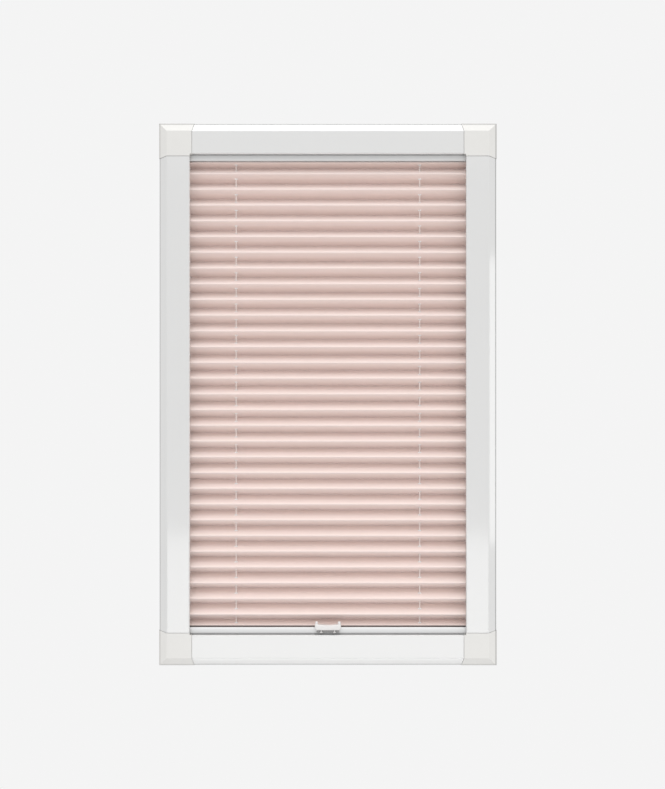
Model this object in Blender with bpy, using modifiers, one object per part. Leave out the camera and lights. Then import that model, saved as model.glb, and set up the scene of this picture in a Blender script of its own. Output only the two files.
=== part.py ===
"""Pleated blind in a clip-on window frame.

Four channel bars and four moulded corners make a frame that clips over a window's glazing bead.
A fixed rail hangs under the top bar, a second rail slides on two taut cords, and a pleated fabric
is held between them. The origin is the middle of the frame's back plane: +Z is up, -Y faces the room.
"""

import math

import bmesh
import bpy
from mathutils import Matrix, Vector

# Frame
frame_width = 0.360
frame_height = 0.578
frame_depth = 0.027
bar_face = 0.033
bar_wall = 0.0016
bar_lip = 0.0065
bevel_run = 0.0086
bevel_fall = 0.0060
inner_edge_radius = 0.0015
side_edge_thickness = 0.0020
side_reveal = 0.0030
seam_slant = 0.0021

# Corner pieces
corner_proud = 0.0003
corner_wall = 0.0022
corner_overlap = 0.0021
spigot_length = 0.024
spigot_wall = 0.0022

# Clearances
touch_gap = 0.0003
side_gap = 0.0005
bore_gap = 0.00035

# Window brackets
bracket_length = 0.030
bracket_offset = 0.170
bracket_hold = 0.0030
bracket_plate = 0.0018
bracket_leg_setback = 0.0090
bracket_leg = 0.0020
bead_depth = 0.020
bead_hook = 0.012
tongue_thickness = 0.0010

# Rails
rail_depth = 0.020
rail_wall = 0.0010
top_rail_height = 0.0062
top_rail_edge_radius = 0.0008
top_rail_nose_radius = 0.0025
bottom_rail_height = 0.0070
bottom_rail_nose_radius = 0.0025
clip_step_height = 0.0013
clip_step_depth = 0.0034
slot_width = 0.0012
cap_thickness = 0.0015
cap_plug = 0.0060
strip_thickness = 0.0008
strip_front_reach = 0.0045
strip_back_reach = 0.0009

# Fabric
crest_setback = 0.0065
pleat_depth = 0.0182
pleat_pitch = 0.016814
fabric_thickness = 0.0004
fabric_slot_setback = 0.0050
fabric_neck = 0.0006
fabric_lip = 0.0023
fabric_lip_drop = 0.0011
fabric_fold_in = 0.0035
fabric_side_gap = 0.0006
least_end_run = 0.0040

# Cords and what holds them
cord_radius = 0.0006
cord_inset = 0.0482
cord_bend_radius = 0.0016
cord_lead = 0.0100
cord_hole_radius = 0.0022
cord_hole_sides = 3
cross_cord_spacing = 0.0026
eyelet_wall = 0.0006
eyelet_flange = 0.0007
eyelet_flange_thickness = 0.0005
crimp_length = 0.0060
crimp_wall = 0.0005
spring_radius = 0.0015
spring_wire_radius = 0.00022
spring_turns = 12
spring_points_per_turn = 8
spring_length = 0.026
spring_lead = 0.0035
peg_radius = 0.0010
guide_width = 0.012
guide_depth_behind_cord = 0.0075
guide_collar_wall = 0.0006
anchor_width = 0.012
anchor_height = 0.0075
stop_radius = 0.0018
stop_edge_radius = 0.0013
stop_height = 0.0030

# Rail screws
screw_inset = 0.120
screw_radius = 0.0014
screw_head_radius = 0.0024
screw_head_height = 0.0014
screw_reach = 0.0040
screw_setback = 0.0045

# Handle
handle_width = 0.028
handle_rise = 0.0073
handle_dip_rise = 0.0031
handle_dip = 0.0016
handle_drop = 0.0024
handle_reach = 0.0055
handle_horn_radius = 0.0015
handle_wall = 0.0012
handle_hook = 0.0010
handle_hook_reach = 0.0024
handle_foot_reach = 0.0025
handle_clip_width = 0.024
handle_prong_offset = 0.0072
handle_prong_root = 0.0012
handle_prong_spread = 0.0038
handle_prong_height = 0.0026
handle_foot_width = 0.0030
handle_foot_wall = 0.0006

# Places worked out from the sizes
half_width = frame_width / 2
half_height = frame_height / 2
opening_half_width = half_width - bar_face
opening_half_height = half_height - bar_face
side_wall = bar_face - side_reveal
recess_half_width = half_width - side_wall
corner_reach = bar_face + corner_overlap
crest_y = crest_setback - frame_depth
valley_y = crest_y + pleat_depth
cord_y = (crest_y + valley_y) / 2
slot_y = crest_y + fabric_slot_setback
rail_front_y = cord_y - rail_depth / 2
rail_back_y = cord_y + rail_depth / 2
rail_half_length = recess_half_width - side_gap - cap_thickness - touch_gap
top_rail_top = opening_half_height - touch_gap
top_rail_base = top_rail_top - top_rail_height
bottom_rail_base = -opening_half_height + touch_gap
bottom_rail_top = bottom_rail_base + bottom_rail_height
clip_step_top = bottom_rail_base + clip_step_height
clip_step_y = rail_front_y + clip_step_depth
fabric_drop = top_rail_base - bottom_rail_top
fabric_half_width = recess_half_width - fabric_side_gap
cord_x = opening_half_width - cord_inset
bore_radius = cord_radius + bore_gap
screw_x = half_width - screw_inset

TURNS = {"x": (math.pi / 2, 0, math.pi / 2), "y": (math.pi / 2, 0, 0), "z": (0, 0, 0)}
POLES = {"x": (0, math.pi / 2, 0), "y": (math.pi / 2, 0, 0), "z": (0, 0, 0)}
SIDES = {"left": -1, "right": 1}
LEVELS = {"bottom": -1, "top": 1}

FINISHES = {
    "coated_bar": ((0.76, 0.76, 0.755), 0.38, 0.0),
    "moulded_corner": ((0.79, 0.785, 0.765), 0.42, 0.0),
    "rail_paint": ((0.72, 0.72, 0.71), 0.35, 0.0),
    "pleated_cloth": ((0.72, 0.57, 0.53), 0.85, 0.0),
    "white_moulding": ((0.85, 0.84, 0.82), 0.35, 0.0),
    "cord_fibre": ((0.84, 0.78, 0.75), 0.8, 0.0),
    "steel": ((0.6, 0.6, 0.6), 0.3, 1.0),
    "clear_nylon": ((0.8, 0.8, 0.78), 0.45, 0.0),
}

for old in list(bpy.data.objects):
    bpy.data.objects.remove(old, do_unlink=True)


def new_collection(name):
    group = bpy.data.collections.new(name)
    bpy.context.scene.collection.children.link(group)
    return group


parts = new_collection("framed_pleated_blind")
cutters = new_collection("cutters")


def own_material(name, finish):
    colour, roughness, metallic = FINISHES[finish]
    material = bpy.data.materials.new(name + "_finish")
    material.use_nodes = True
    shader = material.node_tree.nodes["Principled BSDF"]
    shader.inputs["Base Color"].default_value = (*colour, 1)
    shader.inputs["Roughness"].default_value = roughness
    shader.inputs["Metallic"].default_value = metallic
    return material


def add_object(name, mesh):
    """A mesh object, kept with the cutters until it is made a part."""
    piece = bpy.data.objects.new(name, mesh)
    cutters.objects.link(piece)
    piece.hide_render = True
    piece.display_type = "WIRE"
    return piece


def as_part(piece, finish, carrier=None):
    """Moves a finished solid among the parts and gives it its material and its carrier."""
    cutters.objects.unlink(piece)
    parts.objects.link(piece)
    piece.hide_render = False
    piece.display_type = "TEXTURED"
    piece.data.materials.clear()
    piece.data.materials.append(own_material(piece.name, finish))
    piece.data.shade_smooth()
    piece.data.set_sharp_from_angle(angle=math.radians(35))
    if carrier:
        piece.parent = carrier
        piece.matrix_parent_inverse = Matrix.Translation(-carrier.location)
    return piece


def solid_from_curve(name, curve, turn=(0, 0, 0), place=(0, 0, 0)):
    """The closed mesh of a curve, with its caps welded on."""
    drawn = bpy.data.objects.new(name + "_curve", curve)
    drawn.rotation_euler = turn
    drawn.location = place
    cutters.objects.link(drawn)
    bpy.context.view_layer.update()
    seen = drawn.evaluated_get(bpy.context.evaluated_depsgraph_get())
    mesh = bpy.data.meshes.new_from_object(seen)
    shape = bmesh.new()
    shape.from_mesh(mesh)
    bmesh.ops.remove_doubles(shape, verts=shape.verts, dist=1e-6)
    bmesh.ops.recalc_face_normals(shape, faces=shape.faces)
    shape.to_mesh(mesh)
    shape.free()
    piece = add_object(name, mesh)
    piece.matrix_world = drawn.matrix_world
    bpy.data.objects.remove(drawn, do_unlink=True)
    return piece


def extrusion(name, outline, along, low, high):
    """A flat outline drawn out along one axis, from low to high."""
    curve = bpy.data.curves.new(name, "CURVE")
    curve.dimensions = "2D"
    curve.fill_mode = "BOTH"
    curve.extrude = (high - low) / 2
    spline = curve.splines.new("POLY")
    spline.points.add(len(outline) - 1)
    for point, (across, up) in zip(spline.points, outline):
        point.co = (across, up, 0, 1)
    spline.use_cyclic_u = True
    place = [0, 0, 0]
    place["xyz".index(along)] = (low + high) / 2
    return solid_from_curve(name, curve, TURNS[along], place)


def tube(name, route, radius, resolution=2):
    """A round wire or cord along a list of points."""
    curve = bpy.data.curves.new(name, "CURVE")
    curve.dimensions = "3D"
    curve.bevel_depth = radius
    curve.bevel_resolution = resolution
    curve.use_fill_caps = True
    spline = curve.splines.new("POLY")
    spline.points.add(len(route) - 1)
    for point, place in zip(spline.points, route):
        point.co = (*place, 1)
    return solid_from_curve(name, curve)


def block(name, across, deep, up):
    """A box between two x, two y and two z values."""
    spans = [sorted(span) for span in (across, deep, up)]
    size = [high - low for low, high in spans]
    shape = bmesh.new()
    bmesh.ops.create_cube(shape, size=1, matrix=Matrix.Diagonal((*size, 1)))
    mesh = bpy.data.meshes.new(name)
    shape.to_mesh(mesh)
    shape.free()
    piece = add_object(name, mesh)
    piece.location = [(low + high) / 2 for low, high in spans]
    return piece


def rod(name, radius, along, centre, low, high, sides=16):
    """A cylinder along one axis; centre gives the other two places."""
    shape = bmesh.new()
    bmesh.ops.create_cone(
        shape, cap_ends=True, segments=sides, radius1=radius, radius2=radius, depth=abs(high - low)
    )
    mesh = bpy.data.meshes.new(name)
    shape.to_mesh(mesh)
    shape.free()
    piece = add_object(name, mesh)
    place = list(centre)
    place.insert("xyz".index(along), (low + high) / 2)
    piece.location = place
    piece.rotation_euler = POLES[along]
    return piece


def turned(name, profile, centre, steps=16):
    """A profile of (radius, height) points turned about the vertical through centre."""
    shape = bmesh.new()
    ring = [shape.verts.new((radius, 0, height)) for radius, height in profile]
    for first, second in zip(ring, ring[1:] + ring[:1]):
        shape.edges.new((first, second))
    mesh = bpy.data.meshes.new(name)
    shape.to_mesh(mesh)
    shape.free()
    piece = add_object(name, mesh)
    piece.location = centre
    screw = piece.modifiers.new("turn", "SCREW")
    screw.axis = "Z"
    screw.angle = 2 * math.pi
    screw.steps = steps
    screw.render_steps = steps
    screw.use_merge_vertices = True
    screw.merge_threshold = 1e-6
    return piece


def combine(piece, tool, operation):
    modifier = piece.modifiers.new(tool.name, "BOOLEAN")
    modifier.operation = operation
    modifier.solver = "EXACT"
    modifier.object = tool


def cut(piece, *tools):
    for tool in tools:
        combine(piece, tool, "DIFFERENCE")


def join(piece, *tools):
    for tool in tools:
        combine(piece, tool, "UNION")


def arc(centre, radius, start, end, steps=4):
    """Points on a round stretch of an outline, angles in degrees."""
    angles = [math.radians(start + (end - start) * step / steps) for step in range(steps + 1)]
    return [(centre[0] + radius * math.cos(a), centre[1] + radius * math.sin(a)) for a in angles]


# Joint carriers: the sliding rail's empty lies between the cords, the handle's on the rail's front.
rail_carrier = bpy.data.objects.new("rail_carrier", None)
rail_carrier.location = (0, cord_y, bottom_rail_base)
parts.objects.link(rail_carrier)
handle_carrier = bpy.data.objects.new("handle_carrier", None)
handle_carrier.location = (0, rail_front_y, bottom_rail_top)
parts.objects.link(handle_carrier)


# Frame bars: an open-backed channel. The side bars' inner walls stand back behind their front edges.
front_y = -frame_depth
bevel_steepness = math.hypot(1 / bevel_run, 1 / bevel_fall)
bevel_inside = 1 + bar_wall * bevel_steepness
wall_front_u = bevel_run * (bevel_inside - bar_wall / bevel_fall)
wall_side_y = front_y + bevel_fall * (bevel_inside - bar_wall / bevel_run)
edge_centre = (bar_face - inner_edge_radius, front_y + inner_edge_radius)
side_edge_back = front_y + side_edge_thickness
side_edge = [(bar_face, side_edge_back), (side_wall, side_edge_back)]


def bar_section(inner_wall, edge):
    """The bar's outline as (distance in from the outer edge, y) points."""
    return [
        (0, 0),
        (0, front_y + bevel_fall),
        (bevel_run, front_y),
        *arc(edge_centre, inner_edge_radius, -90, 0),
        *edge,
        (inner_wall, 0),
        (inner_wall - bar_lip, 0),
        (inner_wall - bar_lip, -bar_wall),
        (inner_wall - bar_wall, -bar_wall),
        (inner_wall - bar_wall, front_y + bar_wall),
        (wall_front_u, front_y + bar_wall),
        (bar_wall, wall_side_y),
        (bar_wall, -bar_wall),
        (bar_lip, -bar_wall),
        (bar_lip, 0),
    ]


seam_overrun = bevel_run
seam_cut = [
    (corner_reach - seam_slant, bevel_run),
    (corner_reach + touch_gap, bevel_run),
    (corner_reach + touch_gap + seam_slant * (1 + seam_overrun / bevel_run), -seam_overrun),
    (corner_reach - seam_slant, -seam_overrun),
]


def frame_point(x_sign, z_sign, from_side, from_end):
    """World x and z of a point measured in from the frame's outer edges."""
    return x_sign * (half_width - from_side), z_sign * (half_height - from_end)


for level, z_sign in LEVELS.items():
    outline = [(y, z_sign * (half_height - u)) for u, y in bar_section(bar_face, [])]
    reach = half_width - corner_reach - touch_gap
    bar = extrusion(level + "_bar", outline, "x", -reach, reach)
    for side, x_sign in SIDES.items():
        wedge = [frame_point(x_sign, z_sign, a, b) for a, b in seam_cut]
        cut(bar, extrusion(f"{level}_bar_{side}_seam", wedge, "y", 2 * front_y, frame_depth))
    as_part(bar, "coated_bar")

for side, x_sign in SIDES.items():
    outline = [(x_sign * (half_width - u), y) for u, y in bar_section(side_wall, side_edge)]
    reach = half_height - corner_reach - touch_gap
    bar = extrusion(side + "_bar", outline, "z", -reach, reach)
    for level, z_sign in LEVELS.items():
        wedge = [frame_point(x_sign, z_sign, b, a) for a, b in seam_cut]
        cut(bar, extrusion(f"{side}_bar_{level}_seam", wedge, "y", 2 * front_y, frame_depth))
    as_part(bar, "coated_bar")


# Corner pieces: a hollow moulding that covers the bars' ends, with a spigot into each bar.
proud_slant = seam_slant * (1 + corner_proud / bevel_run)
corner_outline = [
    (-corner_proud, -corner_proud),
    (corner_reach + proud_slant, -corner_proud),
    (corner_reach, bevel_run),
    (corner_reach, bar_face),
    (bar_face, bar_face),
    (bar_face, corner_reach),
    (bevel_run, corner_reach),
    (-corner_proud, corner_reach + proud_slant),
]
bevel_line = 1 - corner_proud * bevel_steepness
bevel_reach = bevel_run
bevel_cut = [
    (bevel_run + bevel_reach, front_y + bevel_fall * (bevel_line - 1 - bevel_reach / bevel_run)),
    (bevel_run * (bevel_line - 2), front_y + 2 * bevel_fall),
    (bevel_run * (bevel_line - 2), 2 * front_y),
    (bevel_run + bevel_reach, 2 * front_y),
]
spigot_inner = {"across": bar_face - bar_wall - touch_gap, "up": side_wall - bar_wall - touch_gap}
spigot_start = wall_front_u + touch_gap
spigot_deep = (front_y + bar_wall + touch_gap, -bar_wall - touch_gap)
pocket_start = corner_reach + spigot_wall
pocket_end = corner_reach + spigot_length - spigot_wall
corner_pocket_front = front_y + bevel_fall + corner_wall / 2

for level, z_sign in LEVELS.items():
    for side, x_sign in SIDES.items():
        name = f"corner_{level}_{side}"

        def span_block(label, from_side, deep, from_end):
            low = frame_point(x_sign, z_sign, from_side[0], from_end[0])
            high = frame_point(x_sign, z_sign, from_side[1], from_end[1])
            return block(f"{name}_{label}", (low[0], high[0]), deep, (low[1], high[1]))

        outline = [frame_point(x_sign, z_sign, a, b) for a, b in corner_outline]
        corner = extrusion(name, outline, "y", front_y - corner_proud, 0)
        along_x = [(y, z_sign * (half_height - u)) for u, y in bevel_cut]
        along_z = [(x_sign * (half_width - u), y) for u, y in bevel_cut]
        x_ends = sorted(x_sign * (half_width - a) for a in (-bar_face, 2 * bar_face))
        z_ends = sorted(z_sign * (half_height - b) for b in (-bar_face, 2 * bar_face))
        cut(corner, extrusion(name + "_end_bevel", along_x, "x", *x_ends))
        cut(corner, extrusion(name + "_side_bevel", along_z, "z", *z_ends))
        spigot_ends = (corner_reach - spigot_wall, corner_reach + spigot_length)
        across = (spigot_start, spigot_inner["across"])
        up = (spigot_start, spigot_inner["up"])
        join(corner, span_block("spigot_across", spigot_ends, spigot_deep, across))
        join(corner, span_block("spigot_up", up, spigot_deep, spigot_ends))
        open_back = (front_y + bar_wall + touch_gap + spigot_wall, frame_depth)
        across_pocket = (spigot_start + spigot_wall, spigot_inner["across"] - spigot_wall)
        up_pocket = (spigot_start + spigot_wall, spigot_inner["up"] - spigot_wall)
        pocket_ends = (pocket_start, pocket_end)
        cut(corner, span_block("pocket_across", pocket_ends, open_back, across_pocket))
        cut(corner, span_block("pocket_up", up_pocket, open_back, pocket_ends))
        behind_edge = (side_edge_back, frame_depth)
        beside_opening = (side_wall, corner_reach)
        cut(corner, span_block("side_recess", beside_opening, behind_edge, (bar_face, 2 * bar_face)))
        hollow = (corner_wall, bar_face - corner_wall)
        cut(corner, span_block("hollow", hollow, (corner_pocket_front, frame_depth), hollow))
        as_part(corner, "moulded_corner")


# Window brackets: a T head behind the bar's lips, a leg back past the bead and a tongue behind it.
head_back = -bar_wall - touch_gap
leg_inner = side_wall - bracket_leg_setback
bracket_section = [
    (bar_lip - bracket_hold, head_back - bracket_plate),
    (side_wall - bar_lip + bracket_hold, head_back - bracket_plate),
    (side_wall - bar_lip + bracket_hold, head_back),
    (side_wall - bar_lip - touch_gap, head_back),
    (side_wall - bar_lip - touch_gap, 0),
    (leg_inner, 0),
    (leg_inner, bead_depth + tongue_thickness),
    (leg_inner - bracket_leg - bead_hook, bead_depth + tongue_thickness),
    (leg_inner - bracket_leg - bead_hook, bead_depth),
    (leg_inner - bracket_leg, bead_depth),
    (leg_inner - bracket_leg, 0),
    (bar_lip + touch_gap, 0),
    (bar_lip + touch_gap, head_back),
    (bar_lip - bracket_hold, head_back),
]
for side, x_sign in SIDES.items():
    outline = [(x_sign * (half_width - u), y) for u, y in bracket_section]
    for level, z_sign in {"lower": -1, "upper": 1}.items():
        middle = z_sign * bracket_offset
        ends = (middle - bracket_length / 2, middle + bracket_length / 2)
        as_part(extrusion(f"bracket_{side}_{level}", outline, "z", *ends), "clear_nylon")


# Top rail: a box with a round upper front, a slot for the fabric below and holes for cords and screws.
slot_front = slot_y - slot_width / 2
slot_back = slot_y + slot_width / 2
top_inside = top_rail_top - rail_wall
top_floor = top_rail_base + rail_wall
top_edge_centre = (rail_front_y + top_rail_edge_radius, top_rail_base + top_rail_edge_radius)
top_nose_centre = (rail_front_y + top_rail_nose_radius, top_rail_top - top_rail_nose_radius)
top_rail_section = [
    (slot_front, top_rail_base),
    *arc(top_edge_centre, top_rail_edge_radius, -90, -180),
    *arc(top_nose_centre, top_rail_nose_radius, 180, 90),
    (rail_back_y, top_rail_top),
    (rail_back_y, top_rail_base),
    (slot_back, top_rail_base),
    (slot_back, top_floor),
    (rail_back_y - rail_wall, top_floor),
    (rail_back_y - rail_wall, top_inside),
    *arc(top_nose_centre, top_rail_nose_radius - rail_wall, 90, 180),
    (rail_front_y + rail_wall, top_floor),
    (slot_front, top_floor),
]
screw_y = rail_back_y - screw_setback
eyelet_radius = bore_radius + eyelet_wall
cord_turn_z = (top_floor + top_inside) / 2
top_rail = extrusion("top_rail", top_rail_section, "x", -rail_half_length, rail_half_length)
for side, x_sign in SIDES.items():
    hole = (top_rail_base - rail_wall, top_floor + rail_wall / 2)
    exit_place = (x_sign * cord_x, cord_y)
    cut(top_rail, rod(f"cord_exit_hole_{side}", eyelet_radius + touch_gap, "z", exit_place, *hole))
    screw_place = (x_sign * screw_x, screw_y)
    through = (top_inside - rail_wall / 2, opening_half_height + 2 * bar_wall)
    screw_hole = rod(f"rail_screw_hole_{side}", screw_radius + touch_gap, "z", screw_place, *through)
    cut(top_rail, screw_hole)
    cut(bpy.data.objects["top_bar"], screw_hole)
as_part(top_rail, "rail_paint")


def headed_pin(name, centre, head, shank, tip, sides=16):
    """A screw: a (radius, low, high) head and a thinner shank that rises from it to tip."""
    radius, low, high = head
    shape = bmesh.new()
    bmesh.ops.create_cone(
        shape, cap_ends=True, segments=sides, radius1=radius, radius2=radius, depth=high - low
    )
    cap = max(shape.faces, key=lambda face: face.calc_center_median().z)
    shoulder = (radius - shank) * math.cos(math.pi / sides)
    bmesh.ops.inset_individual(shape, faces=[cap], thickness=shoulder)
    stalk = bmesh.ops.extrude_discrete_faces(shape, faces=[cap])["faces"]
    bmesh.ops.translate(shape, verts=stalk[0].verts, vec=(0, 0, tip - high))
    mesh = bpy.data.meshes.new(name)
    shape.to_mesh(mesh)
    shape.free()
    piece = add_object(name, mesh)
    piece.location = (*centre, (low + high) / 2)
    return piece


head_top = top_inside - touch_gap
screw_tip = opening_half_height + bar_wall + screw_reach
for side, x_sign in SIDES.items():
    head = (screw_head_radius, head_top - screw_head_height, head_top)
    place = (x_sign * screw_x, screw_y)
    as_part(headed_pin(f"rail_screw_{side}", place, head, screw_radius, screw_tip), "steel")


# Rail end caps: a plate with the rail's outline and a plug in the rail's rear hollow.
def end_cap(name, outline, x_sign, plug_deep, plug_up, finish, carrier=None):
    outer = recess_half_width - side_gap
    inner = outer - cap_thickness
    cap = extrusion(name, outline, "x", *sorted((x_sign * outer, x_sign * inner)))
    plug_ends = (x_sign * (inner - cap_plug), x_sign * (inner + cap_thickness / 2))
    join(cap, block(name + "_plug", plug_ends, plug_deep, plug_up))
    return as_part(cap, finish, carrier)


plug_deep = (cord_y + guide_collar_wall + bore_radius, rail_back_y - rail_wall - touch_gap)
top_cap_outline = [
    *arc(top_edge_centre, top_rail_edge_radius, -90, -180),
    *arc(top_nose_centre, top_rail_nose_radius, 180, 90),
    (rail_back_y, top_rail_top),
    (rail_back_y, top_rail_base),
]
for side, x_sign in SIDES.items():
    plug_up = (top_floor + touch_gap, top_inside - touch_gap)
    end_cap(f"top_rail_cap_{side}", top_cap_outline, x_sign, plug_deep, plug_up, "rail_paint")


# Cord exits: a small turned eyelet in the top rail's floor, round each cord.
eyelet_top = top_floor + eyelet_flange_thickness
eyelet_seat = top_rail_base - touch_gap
eyelet_profile = [
    (eyelet_radius, eyelet_top),
    (eyelet_radius, eyelet_seat),
    (eyelet_radius + eyelet_flange, eyelet_seat),
    (eyelet_radius + eyelet_flange, eyelet_seat - eyelet_flange_thickness),
    (bore_radius, eyelet_seat - eyelet_flange_thickness),
    (bore_radius, eyelet_top),
]
for side, x_sign in SIDES.items():
    eyelet = turned(f"cord_exit_{side}", eyelet_profile, (x_sign * cord_x, cord_y, 0))
    as_part(eyelet, "white_moulding")


# Bottom rail: a box with a round nose, a stepped underside for the handle's foot and a slot on top.
bottom_inside = bottom_rail_top - rail_wall
bottom_floor = bottom_rail_base + rail_wall
step_floor = clip_step_top + rail_wall
nose = bottom_rail_nose_radius
nose_inside = nose - rail_wall
upper_nose = (rail_front_y + nose, bottom_rail_top - nose)
lower_nose = (rail_front_y + nose, clip_step_top + nose)
bottom_rail_outside = [
    *arc(upper_nose, nose, 90, 180),
    *arc(lower_nose, nose, 180, 270),
    (clip_step_y, clip_step_top),
    (clip_step_y, bottom_rail_base),
    (rail_back_y, bottom_rail_base),
    (rail_back_y, bottom_rail_top),
]
bottom_rail_section = [
    (slot_front, bottom_rail_top),
    *bottom_rail_outside,
    (slot_back, bottom_rail_top),
    (slot_back, bottom_inside),
    (rail_back_y - rail_wall, bottom_inside),
    (rail_back_y - rail_wall, bottom_floor),
    (clip_step_y + rail_wall, bottom_floor),
    (clip_step_y + rail_wall, step_floor),
    *arc(lower_nose, nose_inside, 270, 180),
    *arc(upper_nose, nose_inside, 180, 90),
    (slot_front, bottom_inside),
]
bottom_rail = extrusion(
    "bottom_rail", bottom_rail_section, "x", -rail_half_length, rail_half_length
)
collar_radius = bore_radius + guide_collar_wall
for side, x_sign in SIDES.items():
    place = (x_sign * cord_x, cord_y)
    ends = (bottom_rail_base - rail_wall, bottom_rail_top + rail_wall)
    cut(bottom_rail, rod(f"guide_hole_{side}", collar_radius + touch_gap, "z", place, *ends))
as_part(bottom_rail, "rail_paint", rail_carrier)

for side, x_sign in SIDES.items():
    plug_up = (bottom_floor + touch_gap, bottom_inside - touch_gap)
    end_cap(
        f"bottom_rail_cap_{side}",
        bottom_rail_outside,
        x_sign,
        plug_deep,
        plug_up,
        "rail_paint",
        rail_carrier,
    )


# Cord guides: a block inside the bottom rail with a collar through its floor and its top.
guide_front = cord_y - collar_radius - touch_gap
guide_back = cord_y + guide_depth_behind_cord
guide_up = (bottom_floor + touch_gap, bottom_inside - touch_gap)
for side, x_sign in SIDES.items():
    middle = x_sign * cord_x
    name = f"cord_guide_{side}"
    across = (middle - guide_width / 2, middle + guide_width / 2)
    guide = block(name, across, (guide_front, guide_back), guide_up)
    place = (middle, cord_y)
    collar_ends = (bottom_rail_base, bottom_rail_top)
    join(guide, rod(name + "_collar", collar_radius, "z", place, *collar_ends))
    bore_ends = (bottom_rail_base - rail_wall, bottom_rail_top + rail_wall)
    cut(guide, rod(name + "_bore", bore_radius, "z", place, *bore_ends))
    as_part(guide, "white_moulding", rail_carrier)


# Crossing cords: inside the bottom rail each cord runs over to the other side's guide.
cross_reach = cord_x - guide_width / 2 - touch_gap
cross_z = (bottom_floor + bottom_inside) / 2
for number, name in enumerate(("crossing_cord_front", "crossing_cord_back")):
    place = cord_y + cross_cord_spacing * (number + 1) - cord_radius
    route = [(-cross_reach, place, cross_z), (cross_reach, place, cross_z)]
    as_part(tube(name, route, cord_radius), "cord_fibre", rail_carrier)


# Pleated fabric: one sheet folded to and fro, its ends turned in over each rail's slot.
pitches = int((fabric_drop - 2 * least_end_run) / pleat_pitch)
end_run = (fabric_drop - pitches * pleat_pitch) / 2
top_tab_z = top_floor + touch_gap + fabric_thickness / 2
bottom_tab_z = bottom_inside - touch_gap - fabric_thickness / 2
fold_line = [(slot_y - fabric_fold_in, top_tab_z), (slot_y, top_tab_z)]
fold_line.append((slot_y, top_rail_base - fabric_neck))
fold_line.append((slot_y - fabric_lip, top_rail_base - fabric_lip_drop))
for fold in range(2 * pitches + 1):
    height = top_rail_base - end_run - fold * pleat_pitch / 2
    fold_line.append((crest_y if fold % 2 else valley_y, height))
fold_line.append((slot_y - fabric_lip, bottom_rail_top + fabric_lip_drop))
fold_line.append((slot_y, bottom_rail_top + fabric_neck))
fold_line += [(slot_y, bottom_tab_z), (slot_y - fabric_fold_in, bottom_tab_z)]

tab_half_width = rail_half_length - touch_gap


def fold_reach(height):
    """The fabric is trimmed a little narrower where it enters the rails."""
    between_rails = bottom_rail_top + fabric_neck < height < top_rail_base - fabric_neck
    return fabric_half_width if between_rails else tab_half_width


def punched_hole(shape, centre, slope):
    """The edges of a hole round a cord, drawn in the plane of one panel."""
    corners = []
    for corner in range(cord_hole_sides):
        angle = 2 * math.pi * corner / cord_hole_sides
        spread = Vector((math.cos(angle), 0, 0)) + slope * math.sin(angle)
        corners.append(shape.verts.new(centre + cord_hole_radius * spread))
    return [shape.edges.new(pair) for pair in zip(corners, corners[1:] + corners[:1])]


sheet = bmesh.new()
creases = []
for y, z in fold_line:
    reach = fold_reach(z)
    ends = [sheet.verts.new((-reach, y, z)), sheet.verts.new((reach, y, z))]
    creases.append(sheet.edges.new(ends))
for upper, lower in zip(creases, creases[1:]):
    rims = [sheet.edges.new(pair) for pair in zip(upper.verts, lower.verts)]
    start, finish = upper.verts[0].co, lower.verts[0].co
    slope = (finish - start).normalized()
    panel_edges = [upper, lower, *rims]
    if min(start.y, finish.y) < cord_y < max(start.y, finish.y):
        down = (cord_y - start.y) / (finish.y - start.y)
        height = start.z + down * (finish.z - start.z)
        for x_sign in SIDES.values():
            centre = Vector((x_sign * cord_x, cord_y, height))
            panel_edges += punched_hole(sheet, centre, slope)
    facing = slope.cross(Vector((1, 0, 0)))
    bmesh.ops.triangle_fill(sheet, use_beauty=True, edges=panel_edges, normal=facing)
bmesh.ops.recalc_face_normals(sheet, faces=sheet.faces)
sheet_mesh = bpy.data.meshes.new("pleated_fabric")
sheet.to_mesh(sheet_mesh)
sheet.free()
fabric = add_object("pleated_fabric", sheet_mesh)
thickness = fabric.modifiers.new("thickness", "SOLIDIFY")
thickness.thickness = fabric_thickness
thickness.offset = 0
thickness.use_even_offset = True
thickness.use_quality_normals = True
as_part(fabric, "pleated_cloth")


# Fabric strips: a flat strip pressed in over each turned-in end of the fabric.
strip_reach = rail_half_length - touch_gap
strip_deep = (slot_y - strip_front_reach, slot_y + strip_back_reach)
top_strip_low = top_tab_z + fabric_thickness / 2 + touch_gap
bottom_strip_high = bottom_tab_z - fabric_thickness / 2 - touch_gap
top_strip_up = (top_strip_low, top_strip_low + strip_thickness)
bottom_strip_up = (bottom_strip_high - strip_thickness, bottom_strip_high)
strip_across = (-strip_reach, strip_reach)
as_part(block("fabric_strip_top", strip_across, strip_deep, top_strip_up), "clear_nylon")
as_part(
    block("fabric_strip_bottom", strip_across, strip_deep, bottom_strip_up),
    "clear_nylon",
    rail_carrier,
)


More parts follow.
